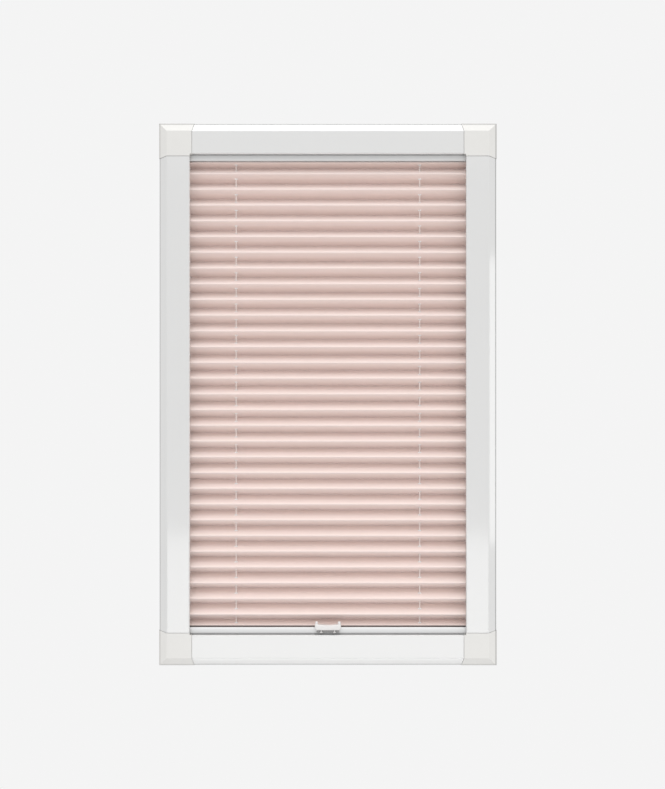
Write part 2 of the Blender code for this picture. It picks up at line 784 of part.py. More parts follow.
# Guide cords: tied to a spring in the top rail, down through the fabric and the sliding rail.
anchor_top = -opening_half_height - bar_wall - touch_gap
anchor_base = anchor_top - anchor_height
stop_top = anchor_base - touch_gap
cord_end_z = stop_top - stop_height + touch_gap
lead_x = cord_x - cord_bend_radius - cord_lead
for side, x_sign in SIDES.items():
    route = [(x_sign * lead_x, cord_y, cord_turn_z)]
    bend_centre = (cord_x - cord_bend_radius, cord_turn_z - cord_bend_radius)
    for x, z in arc(bend_centre, cord_bend_radius, 90, 0):
        route.append((x_sign * x, cord_y, z))
    route.append((x_sign * cord_x, cord_y, cord_end_z))
    as_part(tube(f"guide_cord_{side}", route, cord_radius), "cord_fibre")
    bar_hole = (anchor_top, -opening_half_height + bar_wall)
    place = (x_sign * cord_x, cord_y)
    bar_bore = rod(f"bar_cord_hole_{side}", bore_radius, "z", place, *bar_hole)
    cut(bpy.data.objects["bottom_bar"], bar_bore)


# Tension springs: an open coil between the cord's crimp and a peg in the top rail.
spring_outer_x = lead_x - touch_gap
spring_steps = spring_turns * spring_points_per_turn
for side, x_sign in SIDES.items():
    coil_start = spring_outer_x - spring_lead
    points = [(x_sign * spring_outer_x, cord_y, cord_turn_z)]
    points.append((x_sign * (coil_start + spring_lead / 3), cord_y, cord_turn_z))
    for step in range(spring_steps + 1):
        turn = 2 * math.pi * step / spring_points_per_turn
        x = coil_start - spring_length * step / spring_steps
        y = cord_y + spring_radius * math.sin(turn)
        z = cord_turn_z + spring_radius * math.cos(turn)
        points.append((x_sign * x, y, z))
    coil_end = coil_start - spring_length
    points.append((x_sign * (coil_end - spring_lead / 3), cord_y, cord_turn_z))
    points.append((x_sign * (coil_end - spring_lead), cord_y, cord_turn_z))
    as_part(tube(f"tension_spring_{side}", points, spring_wire_radius, 1), "steel")
    peg_place = (x_sign * (coil_end - spring_lead - touch_gap - peg_radius), cord_y)
    peg_ends = (top_floor + touch_gap, top_inside - touch_gap)
    as_part(rod(f"spring_peg_{side}", peg_radius, "z", peg_place, *peg_ends), "steel")
    crimp_ends = (x_sign * (lead_x - crimp_length / 2), x_sign * (lead_x + crimp_length / 2))
    crimp_place = (cord_y, cord_turn_z)
    crimp_radius = bore_radius + crimp_wall
    crimp = rod(f"cord_crimp_{side}", crimp_radius, "x", crimp_place, *crimp_ends)
    bore_ends = (x_sign * (lead_x - crimp_length), x_sign * (lead_x + crimp_length))
    cut(crimp, rod(f"crimp_bore_{side}", bore_radius, "x", crimp_place, *bore_ends))
    as_part(crimp, "steel")
gap = spring_length / spring_turns - 2 * spring_wire_radius
print(f"least gap between the spring's turns: {gap * 1000:.2f} mm")


# Cord anchors and stops: a block under the bottom bar's inner wall and a bead on the cord's end.
anchor_deep = (front_y + bar_wall + touch_gap, -bar_wall - touch_gap)
stop_profile = [
    (stop_edge_radius, stop_top),
    (stop_radius, stop_top - stop_height / 3),
    (stop_radius, stop_top - 2 * stop_height / 3),
    (stop_edge_radius, stop_top - stop_height),
    (bore_radius, stop_top - stop_height),
    (bore_radius, stop_top),
]
for side, x_sign in SIDES.items():
    middle = x_sign * cord_x
    across = (middle - anchor_width / 2, middle + anchor_width / 2)
    anchor = block(f"cord_anchor_{side}", across, anchor_deep, (anchor_base, anchor_top))
    ends = (anchor_base - bar_wall, anchor_top + bar_wall)
    cut(anchor, rod(f"anchor_bore_{side}", bore_radius, "z", (middle, cord_y), *ends))
    as_part(anchor, "white_moulding")
    as_part(turned(f"cord_stop_{side}", stop_profile, (middle, cord_y, 0)), "white_moulding")


# Handle: a grip with two small horns, a hook over the rail's top and two prongs under its step.
clip_back = rail_front_y - touch_gap
clip_front = clip_back - handle_wall
hook_back = rail_front_y + handle_hook_reach
hook_top = bottom_rail_top + touch_gap + handle_hook
foot_back = rail_front_y + handle_foot_reach
foot_top = clip_step_top - touch_gap
foot_base = bottom_rail_base + touch_gap
grip_base = bottom_rail_top - handle_drop
clip_section = [
    (clip_front, grip_base + handle_wall),
    (clip_front, hook_top),
    (hook_back, hook_top),
    (hook_back, bottom_rail_top + touch_gap),
    (clip_back, bottom_rail_top + touch_gap),
    (clip_back, grip_base + handle_wall),
]
foot_section = [
    (clip_back - handle_foot_wall, foot_base),
    (clip_back - handle_foot_wall, grip_base + handle_wall),
    (clip_back, grip_base + handle_wall),
    (clip_back, foot_top),
    (foot_back, foot_top),
    (foot_back, foot_base),
]
horn = handle_horn_radius
horn_x = handle_width / 2 - horn
horn_z = bottom_rail_top + handle_rise - horn
dip_edge_x = horn_x - horn
dip_radius = (dip_edge_x**2 + handle_dip**2) / (2 * handle_dip)
dip_centre = (0, bottom_rail_top + handle_dip_rise + dip_radius)
dip_angle = math.degrees(math.asin(dip_edge_x / dip_radius))
grip_outline = [
    *arc((horn_x, grip_base + horn), horn, -90, 0),
    *arc((horn_x, horn_z), horn, 0, 180, 6),
    *arc(dip_centre, dip_radius, -90 + dip_angle, -90 - dip_angle, 8),
    *arc((-horn_x, horn_z), horn, 0, 180, 6),
    *arc((-horn_x, grip_base + horn), horn, 180, 270),
]
handle = extrusion("handle", grip_outline, "y", clip_back - handle_reach, clip_back)
clip_ends = (-handle_clip_width / 2, handle_clip_width / 2)
join(handle, extrusion("handle_clip", clip_section, "x", *clip_ends))
prong_base = grip_base - handle_prong_height
for side, x_sign in SIDES.items():
    middle = x_sign * handle_prong_offset
    foot_ends = (middle - handle_foot_width / 2, middle + handle_foot_width / 2)
    join(handle, extrusion(f"handle_foot_{side}", foot_section, "x", *foot_ends))
    prong_outline = [
        (middle - handle_prong_root / 2, grip_base + handle_wall),
        (middle + handle_prong_root / 2, grip_base + handle_wall),
        (middle + handle_prong_root / 2, grip_base),
        (middle + handle_prong_spread / 2, prong_base),
        (middle - handle_prong_spread / 2, prong_base),
        (middle - handle_prong_root / 2, grip_base),
    ]
    prong = extrusion(f"handle_prong_{side}", prong_outline, "y", clip_front, clip_back)
    join(handle, prong)
as_part(handle, "white_moulding", handle_carrier)
handle_carrier.parent = rail_carrier
handle_carrier.matrix_parent_inverse = Matrix.Translation(-rail_carrier.location)
bpy.context.view_layer.update()
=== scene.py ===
"""Looks of a pleated blind in a clip-on window frame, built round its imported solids.

Metres, +Z up. The origin is the middle of the frame's back plane, and -Y faces the room.
"""

import math

import bmesh
import bpy
from mathutils import Matrix, Vector


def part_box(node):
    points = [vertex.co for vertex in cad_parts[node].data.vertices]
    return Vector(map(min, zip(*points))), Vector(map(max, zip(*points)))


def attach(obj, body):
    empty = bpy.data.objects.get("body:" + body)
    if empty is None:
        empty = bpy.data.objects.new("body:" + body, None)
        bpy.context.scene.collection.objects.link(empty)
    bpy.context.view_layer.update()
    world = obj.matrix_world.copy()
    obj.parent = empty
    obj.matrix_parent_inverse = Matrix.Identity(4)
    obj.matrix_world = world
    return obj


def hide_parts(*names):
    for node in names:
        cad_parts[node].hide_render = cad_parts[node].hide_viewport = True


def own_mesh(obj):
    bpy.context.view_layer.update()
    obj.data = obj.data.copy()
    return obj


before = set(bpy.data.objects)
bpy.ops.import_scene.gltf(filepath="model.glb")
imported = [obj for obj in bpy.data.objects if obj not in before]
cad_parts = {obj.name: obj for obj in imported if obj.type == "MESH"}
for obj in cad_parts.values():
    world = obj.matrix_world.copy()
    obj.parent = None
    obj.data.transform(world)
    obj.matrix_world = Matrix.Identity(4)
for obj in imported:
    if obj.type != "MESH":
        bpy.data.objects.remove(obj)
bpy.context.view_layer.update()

# Room: a camera square in front of the blind, a pale floor well below it that fades out into an
# even pale background, a soft white world, three far lamps and four softboxes.
scene = bpy.context.scene
scene.view_settings.view_transform = "Standard"
CAMERA_X = 0.0049
CAMERA_RISE = 0.02
CAMERA_DISTANCE = 1.260
FRONT_Y = -0.027
LENS = 54.07
SENSOR_WIDTH = 36

lens = bpy.data.cameras.new("camera")
lens.lens = LENS
lens.shift_y = -CAMERA_RISE * LENS / SENSOR_WIDTH / CAMERA_DISTANCE
lens.clip_start = 0.05
lens.clip_end = 40
camera = bpy.data.objects.new("camera", lens)
camera.location = (CAMERA_X, FRONT_Y - CAMERA_DISTANCE, CAMERA_RISE)
camera.rotation_euler = (math.pi / 2, 0, 0)
scene.collection.objects.link(camera)
scene.camera = camera


def set_inputs(tree, node, inputs):
    """An input given as a socket is linked, and any other value is set."""
    for key, value in inputs.items():
        if isinstance(value, bpy.types.NodeSocket):
            tree.links.new(value, node.inputs[key])
        else:
            node.inputs[key].default_value = value


def add_node(tree, kind, inputs=None, **settings):
    """A shader node with its settings and inputs."""
    made = tree.nodes.new(kind)
    for key, value in settings.items():
        setattr(made, key, value)
    set_inputs(tree, made, inputs or {})
    return made


def maths(tree, operation, *values):
    """The result of a sum on numbers or sockets."""
    return add_node(tree, "ShaderNodeMath", dict(enumerate(values)), operation=operation).outputs[0]


def ramp(tree, value, start, end, low=0.0, high=1.0, kind="LINEAR"):
    """Goes from low to high while the value goes from start to end, and is level beyond them."""
    inputs = {"Value": value, "From Min": start, "From Max": end, "To Min": low, "To Max": high}
    return add_node(tree, "ShaderNodeMapRange", inputs, interpolation_type=kind).outputs[0]


def noise(tree, place, scale, detail):
    """Soft noise between 0 and 1."""
    inputs = {"Vector": place, "Scale": scale, "Detail": detail}
    return add_node(tree, "ShaderNodeTexNoise", inputs).outputs[0]


def seen_directly(tree):
    """1 for rays from the camera and for what gloss and clear plastic show, else 0."""
    path = add_node(tree, "ShaderNodeLightPath").outputs
    mirrored = maths(tree, "MAXIMUM", path["Is Camera Ray"], path["Is Glossy Ray"])
    return maths(tree, "MAXIMUM", mirrored, path["Is Transmission Ray"])


WORLD_LIGHT = 0.80
BACKGROUND = 0.906
WHITE = (1, 1, 1, 1)
world = bpy.data.worlds.new("studio_air")
world.use_nodes = True
scene.world = world
tree = world.node_tree
tree.nodes.clear()
lighting = add_node(tree, "ShaderNodeBackground", {"Color": WHITE, "Strength": WORLD_LIGHT})
backdrop = add_node(tree, "ShaderNodeBackground", {"Color": WHITE, "Strength": BACKGROUND})
shaders = {0: seen_directly(tree), 1: lighting.outputs[0], 2: backdrop.outputs[0]}
mixed = add_node(tree, "ShaderNodeMixShader", shaders)
add_node(tree, "ShaderNodeOutputWorld", {"Surface": mixed.outputs[0]})

FLOOR_LEVEL = -0.80
FLOOR_RADIUS = 1.20
FLOOR_SIDES = 96
FLOOR_FADE_START = 0.55
FLOOR_FADE_END = FLOOR_RADIUS * 0.98
FLOOR_TONES = (0.78, 0.81)
CLOUD_SCALE = 3.0
shape = bmesh.new()
lowered = Matrix.Translation((0, 0, FLOOR_LEVEL))
bmesh.ops.create_circle(
    shape, cap_ends=True, segments=FLOOR_SIDES, radius=FLOOR_RADIUS, matrix=lowered
)
mesh = bpy.data.meshes.new("floor")
shape.to_mesh(mesh)
shape.free()
floor = bpy.data.objects.new("floor", mesh)
scene.collection.objects.link(floor)
paint = bpy.data.materials.new("floor_paint")
paint.use_nodes = True
tree = paint.node_tree
tree.nodes.clear()
place = add_node(tree, "ShaderNodeTexCoord").outputs["Object"]
level = add_node(tree, "ShaderNodeVectorMath", {0: place, 1: (1, 1, 0)}, operation="MULTIPLY")
reach = add_node(tree, "ShaderNodeVectorMath", {0: level.outputs[0]}, operation="LENGTH")
fade = ramp(
    tree, reach.outputs["Value"], FLOOR_FADE_START, FLOOR_FADE_END, kind="SMOOTHERSTEP"
)
cloud = noise(tree, place, CLOUD_SCALE, 3.0)
tone = ramp(tree, cloud, 0.0, 1.0, *FLOOR_TONES)
matt = add_node(tree, "ShaderNodeBsdfDiffuse", {"Color": tone})
clear = add_node(tree, "ShaderNodeBsdfTransparent")
shaders = {0: fade, 1: matt.outputs[0], 2: clear.outputs[0]}
surface = add_node(tree, "ShaderNodeMixShader", shaders)
add_node(tree, "ShaderNodeOutputMaterial", {"Surface": surface.outputs[0]})
floor.data.materials.append(paint)


def softbox(name, place, aim, width, height, brightness, only_in_gloss=False):
    """A rectangular lamp with a face of the given brightness, where 1 is the picture's white."""
    data = bpy.data.lights.new(name, "AREA")
    data.shape = "RECTANGLE"
    data.size = width
    data.size_y = height
    data.energy = brightness * math.pi * width * height
    lamp = bpy.data.objects.new(name, data)
    lamp.location = place
    lamp.rotation_euler = (Vector(aim) - Vector(place)).to_track_quat("-Z", "Y").to_euler()
    lamp.visible_camera = False
    lamp.visible_diffuse = not only_in_gloss
    scene.collection.objects.link(lamp)


def sun(name, elevation, strength, spread):
    """A far lamp on the room side; elevation and spread are in degrees."""
    data = bpy.data.lights.new(name, "SUN")
    data.energy = strength
    data.angle = math.radians(spread)
    lamp = bpy.data.objects.new(name, data)
    up = math.radians(elevation)
    source = Vector((0, -math.cos(up), math.sin(up)))
    lamp.rotation_euler = source.to_track_quat("Z", "Y").to_euler()
    scene.collection.objects.link(lamp)


# Two of the softboxes show only in gloss. They put the light lower edges on the frame and the
# rails, as a lit floor in front of the blind does.
sun("key_lamp", elevation=40, strength=0.28, spread=34)
sun("upper_lamp", elevation=60, strength=0.60, spread=34)
sun("high_lamp", elevation=85, strength=0.48, spread=30)
softbox(
    "front_box", place=(0, -1.9, 1.0), aim=(0, 0, 0), width=2.0, height=0.9, brightness=0.27
)
softbox(
    "low_box",
    place=(0, -1.75, -0.64),
    aim=(0, 0, -0.64),
    width=0.95,
    height=0.52,
    brightness=1.9,
    only_in_gloss=True,
)
softbox(
    "floor_strip",
    place=(0, -0.14, -0.75),
    aim=(0, -0.02, 0),
    width=0.45,
    height=0.12,
    brightness=3.3,
    only_in_gloss=True,
)
softbox(
    "right_box",
    place=(1.13, -0.24, -0.026),
    aim=(0.17, -0.02, -0.026),
    width=0.15,
    height=0.54,
    brightness=2.1,
)


# Frame bars: four lengths of aluminium channel, open at the back, with a slanted outer edge and a
# smooth white coating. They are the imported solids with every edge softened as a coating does.
WELD_DISTANCE = 1e-6
FINE_WELD_DISTANCE = 1e-7
FLAT_ANGLE = math.radians(0.5)
SOFTENED_ANGLE = math.radians(28)


def open_copy(node):
    """The node's solid as one welded mesh of whole faces."""
    shape = bmesh.new()
    shape.from_mesh(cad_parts[node].data)
    bmesh.ops.remove_doubles(shape, verts=shape.verts, dist=WELD_DISTANCE)
    bmesh.ops.dissolve_limit(
        shape, angle_limit=FLAT_ANGLE, verts=shape.verts, edges=shape.edges
    )
    return shape


def finished(shape, name, material, body, nodes):
    """Makes an object of a finished mesh, gives it its material and says what it stands for."""
    mesh = bpy.data.meshes.new(name)
    shape.to_mesh(mesh)
    shape.free()
    mesh.shade_smooth()
    mesh.materials.append(material)
    piece = bpy.data.objects.new(name, mesh)
    scene.collection.objects.link(piece)
    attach(piece, body)
    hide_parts(*nodes)
    return piece


def softened(node, name, material, body, width, segments=3, share=None):
    """A copy of a solid with its sharp edges rounded; share scales the rounding edge by edge."""
    shape = open_copy(node)
    weight = shape.edges.layers.float.new("bevel_weight_edge")
    for edge in shape.edges:
        if edge.is_manifold and edge.calc_face_angle() > SOFTENED_ANGLE:
            edge[weight] = share(edge) if share else 1
    piece = finished(shape, name, material, body, [node])
    rounding = piece.modifiers.new("rounded_edges", "BEVEL")
    rounding.limit_method = "WEIGHT"
    rounding.width = width
    rounding.segments = segments
    rounding.use_clamp_overlap = True
    evened = piece.modifiers.new("flat_faces", "WEIGHTED_NORMAL")
    evened.weight = 100
    return piece


def new_material(name):
    """A new material, its node tree and its shader."""
    material = bpy.data.materials.new(name)
    material.use_nodes = True
    tree = material.node_tree
    return material, tree, tree.nodes["Principled BSDF"]


def new_group(name, inputs, outputs):
    """A new node group, what it is given and what it gives; each socket has a label and a kind."""
    group = bpy.data.node_groups.new(name, "ShaderNodeTree")
    for way, sockets in (("INPUT", inputs), ("OUTPUT", outputs)):
        for label, kind in sockets.items():
            group.interface.new_socket(label, in_out=way, socket_type=f"NodeSocket{kind}")
    start = group.nodes.new("NodeGroupInput")
    end = group.nodes.new("NodeGroupOutput")
    return group, start.outputs, end


def scaled(tree, colour, share):
    """A colour made darker or lighter by a share."""
    inputs = {0: colour, "Scale": share}
    return add_node(tree, "ShaderNodeVectorMath", inputs, operation="SCALE").outputs[0]


def surface_group():
    """Grain, mottling and gloss changes that a whole surface shares, from fine noise."""
    group, given, end = new_group(
        "surface_variation",
        {
            "Vector": "Vector",
            "Color": "Color",
            "Grain Scale": "Float",
            "Mottle Scale": "Float",
            "Mottle Amount": "Float",
            "Roughness": "Float",
            "Roughness Spread": "Float",
        },
        {"Color": "Color", "Roughness": "Float", "Height": "Float"},
    )
    grain = noise(group, given["Vector"], given["Grain Scale"], 4.0)
    mottle = noise(group, given["Vector"], given["Mottle Scale"], 3.0)
    swing = maths(group, "SUBTRACT", mottle, 0.5)
    shade = maths(group, "MULTIPLY_ADD", swing, given["Mottle Amount"], 1.0)
    gloss = maths(group, "MULTIPLY_ADD", swing, given["Roughness Spread"], given["Roughness"])
    colour = scaled(group, given["Color"], shade)
    set_inputs(group, end, {"Color": colour, "Roughness": gloss, "Height": grain})
    return group


surface_variation = surface_group()


def finish(
    name,
    colour,
    roughness,
    roughness_spread,
    grain_scale,
    grain_height,
    mottle_scale,
    mottle_amount,
    stretch=(1, 1, 1),
    **shader_values,
):
    """A material on the shared surface group; the grain's height is in metres."""
    material, tree, shader = new_material(name)
    place = add_node(tree, "ShaderNodeTexCoord").outputs["Object"]
    drawn_out = add_node(tree, "ShaderNodeMapping", {"Vector": place, "Scale": stretch})
    varied = add_node(
        tree,
        "ShaderNodeGroup",
        {
            "Vector": drawn_out.outputs[0],
            "Color": (*colour, 1),
            "Grain Scale": grain_scale,
            "Mottle Scale": mottle_scale,
            "Mottle Amount": mottle_amount,
            "Roughness": roughness,
            "Roughness Spread": roughness_spread,
        },
        node_tree=surface_variation,
    ).outputs
    grain = {"Height": varied["Height"], "Distance": grain_height, "Strength": 1.0}
    relief = add_node(tree, "ShaderNodeBump", grain)
    varying = {
        "Base Color": varied["Color"],
        "Roughness": varied["Roughness"],
        "Normal": relief.outputs[0],
    }
    set_inputs(tree, shader, varying)
    set_inputs(tree, shader, {key.replace("_", " "): item for key, item in shader_values.items()})
    return material


# Painted shade on the frame's rounded outermost edges, which turn away from the light, and on the
# bottom bar's inner wall where the sliding rail shades it; painted light on the top bar's inner
# wall.
RIM_WIDTH = 0.0017
RIM_BLEND = 0.0005
RIM_BACK_Y = -0.0180
RIM_BACK_BLEND = 0.0015
RIM_PAINTED_SHADE = (
    # (axis, which way along it, where the frame ends, how much painted shade)
    ("X", -1, 0.1800, 0.28),
    ("X", 1, 0.1800, 0.50),
    ("Z", -1, 0.2890, 0.32),
    ("Z", 1, 0.2890, 0.52),
)
INNER_WALL_Y = (FRONT_Y + 0.0004, FRONT_Y + 0.0018)
INNER_WALL_HALF_WIDTH = 0.1475
INNER_WALL_REACH = 0.0009
INNER_WALL_PAINTED_SHADING = (
    # (height, how much painted shade; below zero it is painted light)
    (-0.2560, 0.33),
    (0.2560, -0.30),
)


def rim_shading_group():
    """How much darker the colour is painted: painted shade on the frame's outermost edges and on
    the bottom bar's inner wall, and painted light on the top bar's inner wall.
    """
    group, given, end = new_group("frame_painted_shading", {"Vector": "Vector"}, {"Painted Shading": "Float"})
    place = add_node(group, "ShaderNodeSeparateXYZ", {0: given["Vector"]}).outputs
    painted_shading = 0.0
    for axis, sign, edge, amount in RIM_PAINTED_SHADE:
        reach = maths(group, "MULTIPLY", place[axis], sign)
        inner = edge - RIM_WIDTH
        strip = ramp(group, reach, inner, inner + RIM_BLEND, high=amount)
        painted_shading = maths(group, "MAXIMUM", painted_shading, strip)
    ahead = ramp(group, place["Y"], RIM_BACK_Y - RIM_BACK_BLEND, RIM_BACK_Y, low=1.0, high=0.0)
    painted_shading = maths(group, "MULTIPLY", painted_shading, ahead)
    behind = ramp(group, place["Y"], *INNER_WALL_Y)
    between = maths(group, "COMPARE", place["X"], 0.0, INNER_WALL_HALF_WIDTH)
    inside = maths(group, "MULTIPLY", behind, between)
    for height, amount in INNER_WALL_PAINTED_SHADING:
        wall = maths(group, "COMPARE", place["Z"], height, INNER_WALL_REACH)
        there = maths(group, "MULTIPLY", wall, inside)
        painted_shading = maths(group, "MULTIPLY_ADD", there, amount, painted_shading)
    set_inputs(group, end, {"Painted Shading": painted_shading})
    return group


frame_painted_shading = rim_shading_group()


def paint_shading(material, amount):
    """Darkens the material's colour by the share that a socket gives, as painted shade; a share
    below zero lightens it as painted light.
    """
    tree = material.node_tree
    colour = tree.nodes["Principled BSDF"].inputs["Base Color"]
    kept = maths(tree, "SUBTRACT", 1.0, amount)
    tree.links.new(scaled(tree, colour.links[0].from_socket, kept), colour)


def paint_rim_shading(material, share):
    """Paints shade on the frame's rim and on two inner walls, by a share of the full amount; the
    top bar's inner wall gets painted light.
    """
    tree = material.node_tree
    place = add_node(tree, "ShaderNodeTexCoord").outputs["Object"]
    rim = add_node(tree, "ShaderNodeGroup", node_tree=frame_painted_shading)
    set_inputs(tree, rim, {"Vector": place})
    paint_shading(material, maths(tree, "MULTIPLY", rim.outputs["Painted Shading"], share))


bar_coating = finish(
    "bar_coating",
    colour=(0.69, 0.69, 0.685),
    roughness=0.40,
    roughness_spread=0.06,
    grain_scale=900,
    grain_height=0.000006,
    mottle_scale=14,
    mottle_amount=0.03,
    Coat_Weight=1.0,
    Coat_Roughness=0.09,
    Coat_IOR=1.65,
)
# Painted shade on the bars' outer rim and the bottom bar's inner wall, painted light on the top
# bar's inner wall.
paint_rim_shading(bar_coating, 1.0)
OUTER_EDGE_ROUNDING = 0.0014
FACE_EDGE_ROUNDING = 0.0008
CUT_EDGE_ROUNDING = 0.00018
OUTER_EDGE_Y = -0.0210
BAR_EDGE_MARGIN = 0.0003
LONG_EDGE = 0.1


def bar_edges(edge):
    """The bar's outer edge is the roundest, then the edge of its face, and cut ends are crisp."""
    first, second = (vert.co for vert in edge.verts)
    lengthwise = (first - second).length > LONG_EDGE
    depth = max(first.y, second.y)
    if lengthwise and depth < FRONT_Y + BAR_EDGE_MARGIN:
        return FACE_EDGE_ROUNDING / OUTER_EDGE_ROUNDING
    if lengthwise and abs(depth - OUTER_EDGE_Y) < BAR_EDGE_MARGIN:
        return 1.0
    return CUT_EDGE_ROUNDING / OUTER_EDGE_ROUNDING


for side in ("top", "bottom", "left", "right"):
    softened(
        f"{side}_bar",
        f"frame_bar_{side}",
        bar_coating,
        "frame",
        OUTER_EDGE_ROUNDING,
        5,
        bar_edges,
    )


# Corner pieces: cream-white mouldings that cover the bars' ends and plug into them with spigots.
# Their outer edges are slanted like the bars', mitred at the corner, and all edges are rounded.
corner_moulding = finish(
    "corner_moulding",
    colour=(0.756, 0.747, 0.725),
    roughness=0.45,
    roughness_spread=0.08,
    grain_scale=1600,
    grain_height=0.000008,
    mottle_scale=22,
    mottle_amount=0.04,
    Coat_Weight=0.1,
    Coat_Roughness=0.25,
)
# Painted shade on the corner pieces' outer rim, at 0.65 of the bars' amount.
paint_rim_shading(corner_moulding, 0.65)
OPENING_HALF_WIDTH = 0.147
OPENING_HALF_HEIGHT = 0.256
OPENING_MARGIN = 0.0002
SIDE_SEAM_X = 0.1462
END_SEAM_Z = 0.2552
OPENING_EDGE_ROUNDING = 0.0015
OPENING_CORNER_ROUNDING = 0.0011
MOULDED_EDGE_ROUNDING = 0.0004
SEAM_EDGE_ROUNDING = 0.00015


def corner_edges(edge):
    """The edges round the opening are the roundest, and those along the seams are crisp."""
    ends = [(abs(vert.co.x), vert.co.y, abs(vert.co.z)) for vert in edge.verts]
    by_side = all(abs(x - OPENING_HALF_WIDTH) < OPENING_MARGIN for x, _, _ in ends)
    by_end = all(abs(z - OPENING_HALF_HEIGHT) < OPENING_MARGIN for _, _, z in ends)
    if by_side and by_end:
        return OPENING_CORNER_ROUNDING / OPENING_EDGE_ROUNDING
    if (by_side or by_end) and max(y for _, y, _ in ends) < FRONT_Y:
        return 1.0
    near_seam = all(x < SIDE_SEAM_X or z < END_SEAM_Z for x, _, z in ends)
    return (SEAM_EDGE_ROUNDING if near_seam else MOULDED_EDGE_ROUNDING) / OPENING_EDGE_ROUNDING


for level in ("top", "bottom"):
    for side in ("left", "right"):
        softened(
            f"corner_{level}_{side}",
            f"corner_piece_{level}_{side}",
            corner_moulding,
            "frame",
            OPENING_EDGE_ROUNDING,
            4,
            corner_edges,
        )


# Window brackets: four milky nylon clips whose T head sits behind the bar's lips, with a leg past
# the glazing bead and a thin tongue that slips behind it.
milky_nylon = finish(
    "milky_nylon",
    colour=(0.86, 0.86, 0.84),
    roughness=0.40,
    roughness_spread=0.10,
    grain_scale=1400,
    grain_height=0.000012,
    mottle_scale=60,
    mottle_amount=0.05,
    Transmission_Weight=0.25,
    IOR=1.53,
)
BRACKET_ROUNDING = 0.0003
for side in ("left", "right"):
    for level in ("lower", "upper"):
        node = f"bracket_{side}_{level}"
        softened(node, f"window_{node}", milky_nylon, "frame", BRACKET_ROUNDING)


# Rails: drawn aluminium boxes with a slot for the fabric, the upper one fixed and the lower one
# sliding, both painted white and closed by end caps of the same colour.
rail_paint = finish(
    "rail_paint",
    colour=(0.70, 0.705, 0.705),
    roughness=0.33,
    roughness_spread=0.08,
    grain_scale=500,
    grain_height=0.000010,
    mottle_scale=12,
    mottle_amount=0.03,
    stretch=(0.03, 1, 1),
    Coat_Weight=0.3,
    Coat_Roughness=0.15,
)
RAIL_ROUNDING = 0.00015
RAIL_CAP_ROUNDING = 0.0002
# Painted shade on the top rail's face, darker towards the top bar that shades it, and on the
# sliding rail's lower nose by the bottom bar; a painted highlight on the sliding rail's upper face.
TOP_RAIL_FACE = (0.2500, 0.2557)
TOP_RAIL_PAINTED_SHADE = 0.21
BOTTOM_RAIL_PAINTED_SHADING = (
    # (height where it starts, where it ends, how much painted shade at the first, and at the
    # second; below zero it is painted light)
    (-0.2548, -0.2530, 0.28, 0.0),
    (-0.2522, -0.2498, 0.0, -0.14),
)


def object_place(tree):
    """Where a point of the surface is on each axis."""
    place = add_node(tree, "ShaderNodeTexCoord").outputs["Object"]
    return add_node(tree, "ShaderNodeSeparateXYZ", {0: place}).outputs


# The rail paint's painted shading by height; the sliding rail's bands act only below the middle.
tree = rail_paint.node_tree
height = object_place(tree)["Z"]
painted_shading = ramp(tree, height, *TOP_RAIL_FACE, high=TOP_RAIL_PAINTED_SHADE)
on_lower_rail = maths(tree, "LESS_THAN", height, 0.0)
for band in BOTTOM_RAIL_PAINTED_SHADING:
    painted_shading = maths(tree, "MULTIPLY_ADD", ramp(tree, height, *band), on_lower_rail, painted_shading)
paint_shading(rail_paint, painted_shading)

# The solids' noses are rounder than the real ones, so they are drawn in about new centres.
OLD_NOSE_Y = -0.0189
OLD_NOSE_RADIUS = 0.0025
NOSE_Y = -0.0206
NOSE_RADIUS = 0.0008
RAIL_NOSES = (
    # (height of the old centre, which way the nose turns, height of the new centre)
    (0.2532, 1, 0.2549),
    (-0.2512, 1, -0.2495),
    (-0.2519, -1, -0.2550),
)
CHANNEL_LIP = (
    # (old y and z, new y and z)
    ((-0.0161, -0.2487), (-0.02035, -0.2488)),
    ((-0.0161, -0.2497), (-0.02035, -0.2496)),
    ((-0.0189, -0.2497), (-0.02037, -0.2500)),
    ((-0.01947, -0.24981), (-0.02038, -0.2503)),
    ((-0.01996, -0.25014), (-0.02039, -0.2506)),
    ((-0.02029, -0.25063), (-0.02040, -0.2509)),
    ((-0.0180, -0.2544), (-0.0198, -0.2558)),
    ((-0.0180, -0.2557), (-0.0190, -0.2558)),
)
SAME_PLACE = 0.00002
SAME_SIDE = 0.00001


def reshaped_rail(piece):
    """Draws the rail's noses to their real roundness and opens its channel ahead of the fabric."""
    shrink = NOSE_RADIUS / OLD_NOSE_RADIUS
    for vert in piece.data.vertices:
        place = Vector((vert.co.y, vert.co.z))
        for old_height, way, new_height in RAIL_NOSES:
            arm = place - Vector((OLD_NOSE_Y, old_height))
            on_nose = abs(arm.length - OLD_NOSE_RADIUS) < SAME_PLACE
            if on_nose and arm.x < SAME_SIDE and arm.y * way > -SAME_SIDE:
                vert.co.y, vert.co.z = Vector((NOSE_Y, new_height)) + arm * shrink
        for old, new in CHANNEL_LIP:
            if (place - Vector(old)).length < SAME_PLACE:
                vert.co.y, vert.co.z = new


for node, body in (("top_rail", "frame"), ("bottom_rail", "sliding_rail")):
    profile = softened(
        node, f"{node}_profile", rail_paint, body, RAIL_ROUNDING, 2
    )
    reshaped_rail(profile)
    for side in ("left", "right"):
        cap = softened(
            f"{node}_cap_{side}",
            f"{node}_end_{side}",
            rail_paint,
            body,
            RAIL_CAP_ROUNDING,
            2,
        )
        reshaped_rail(cap)


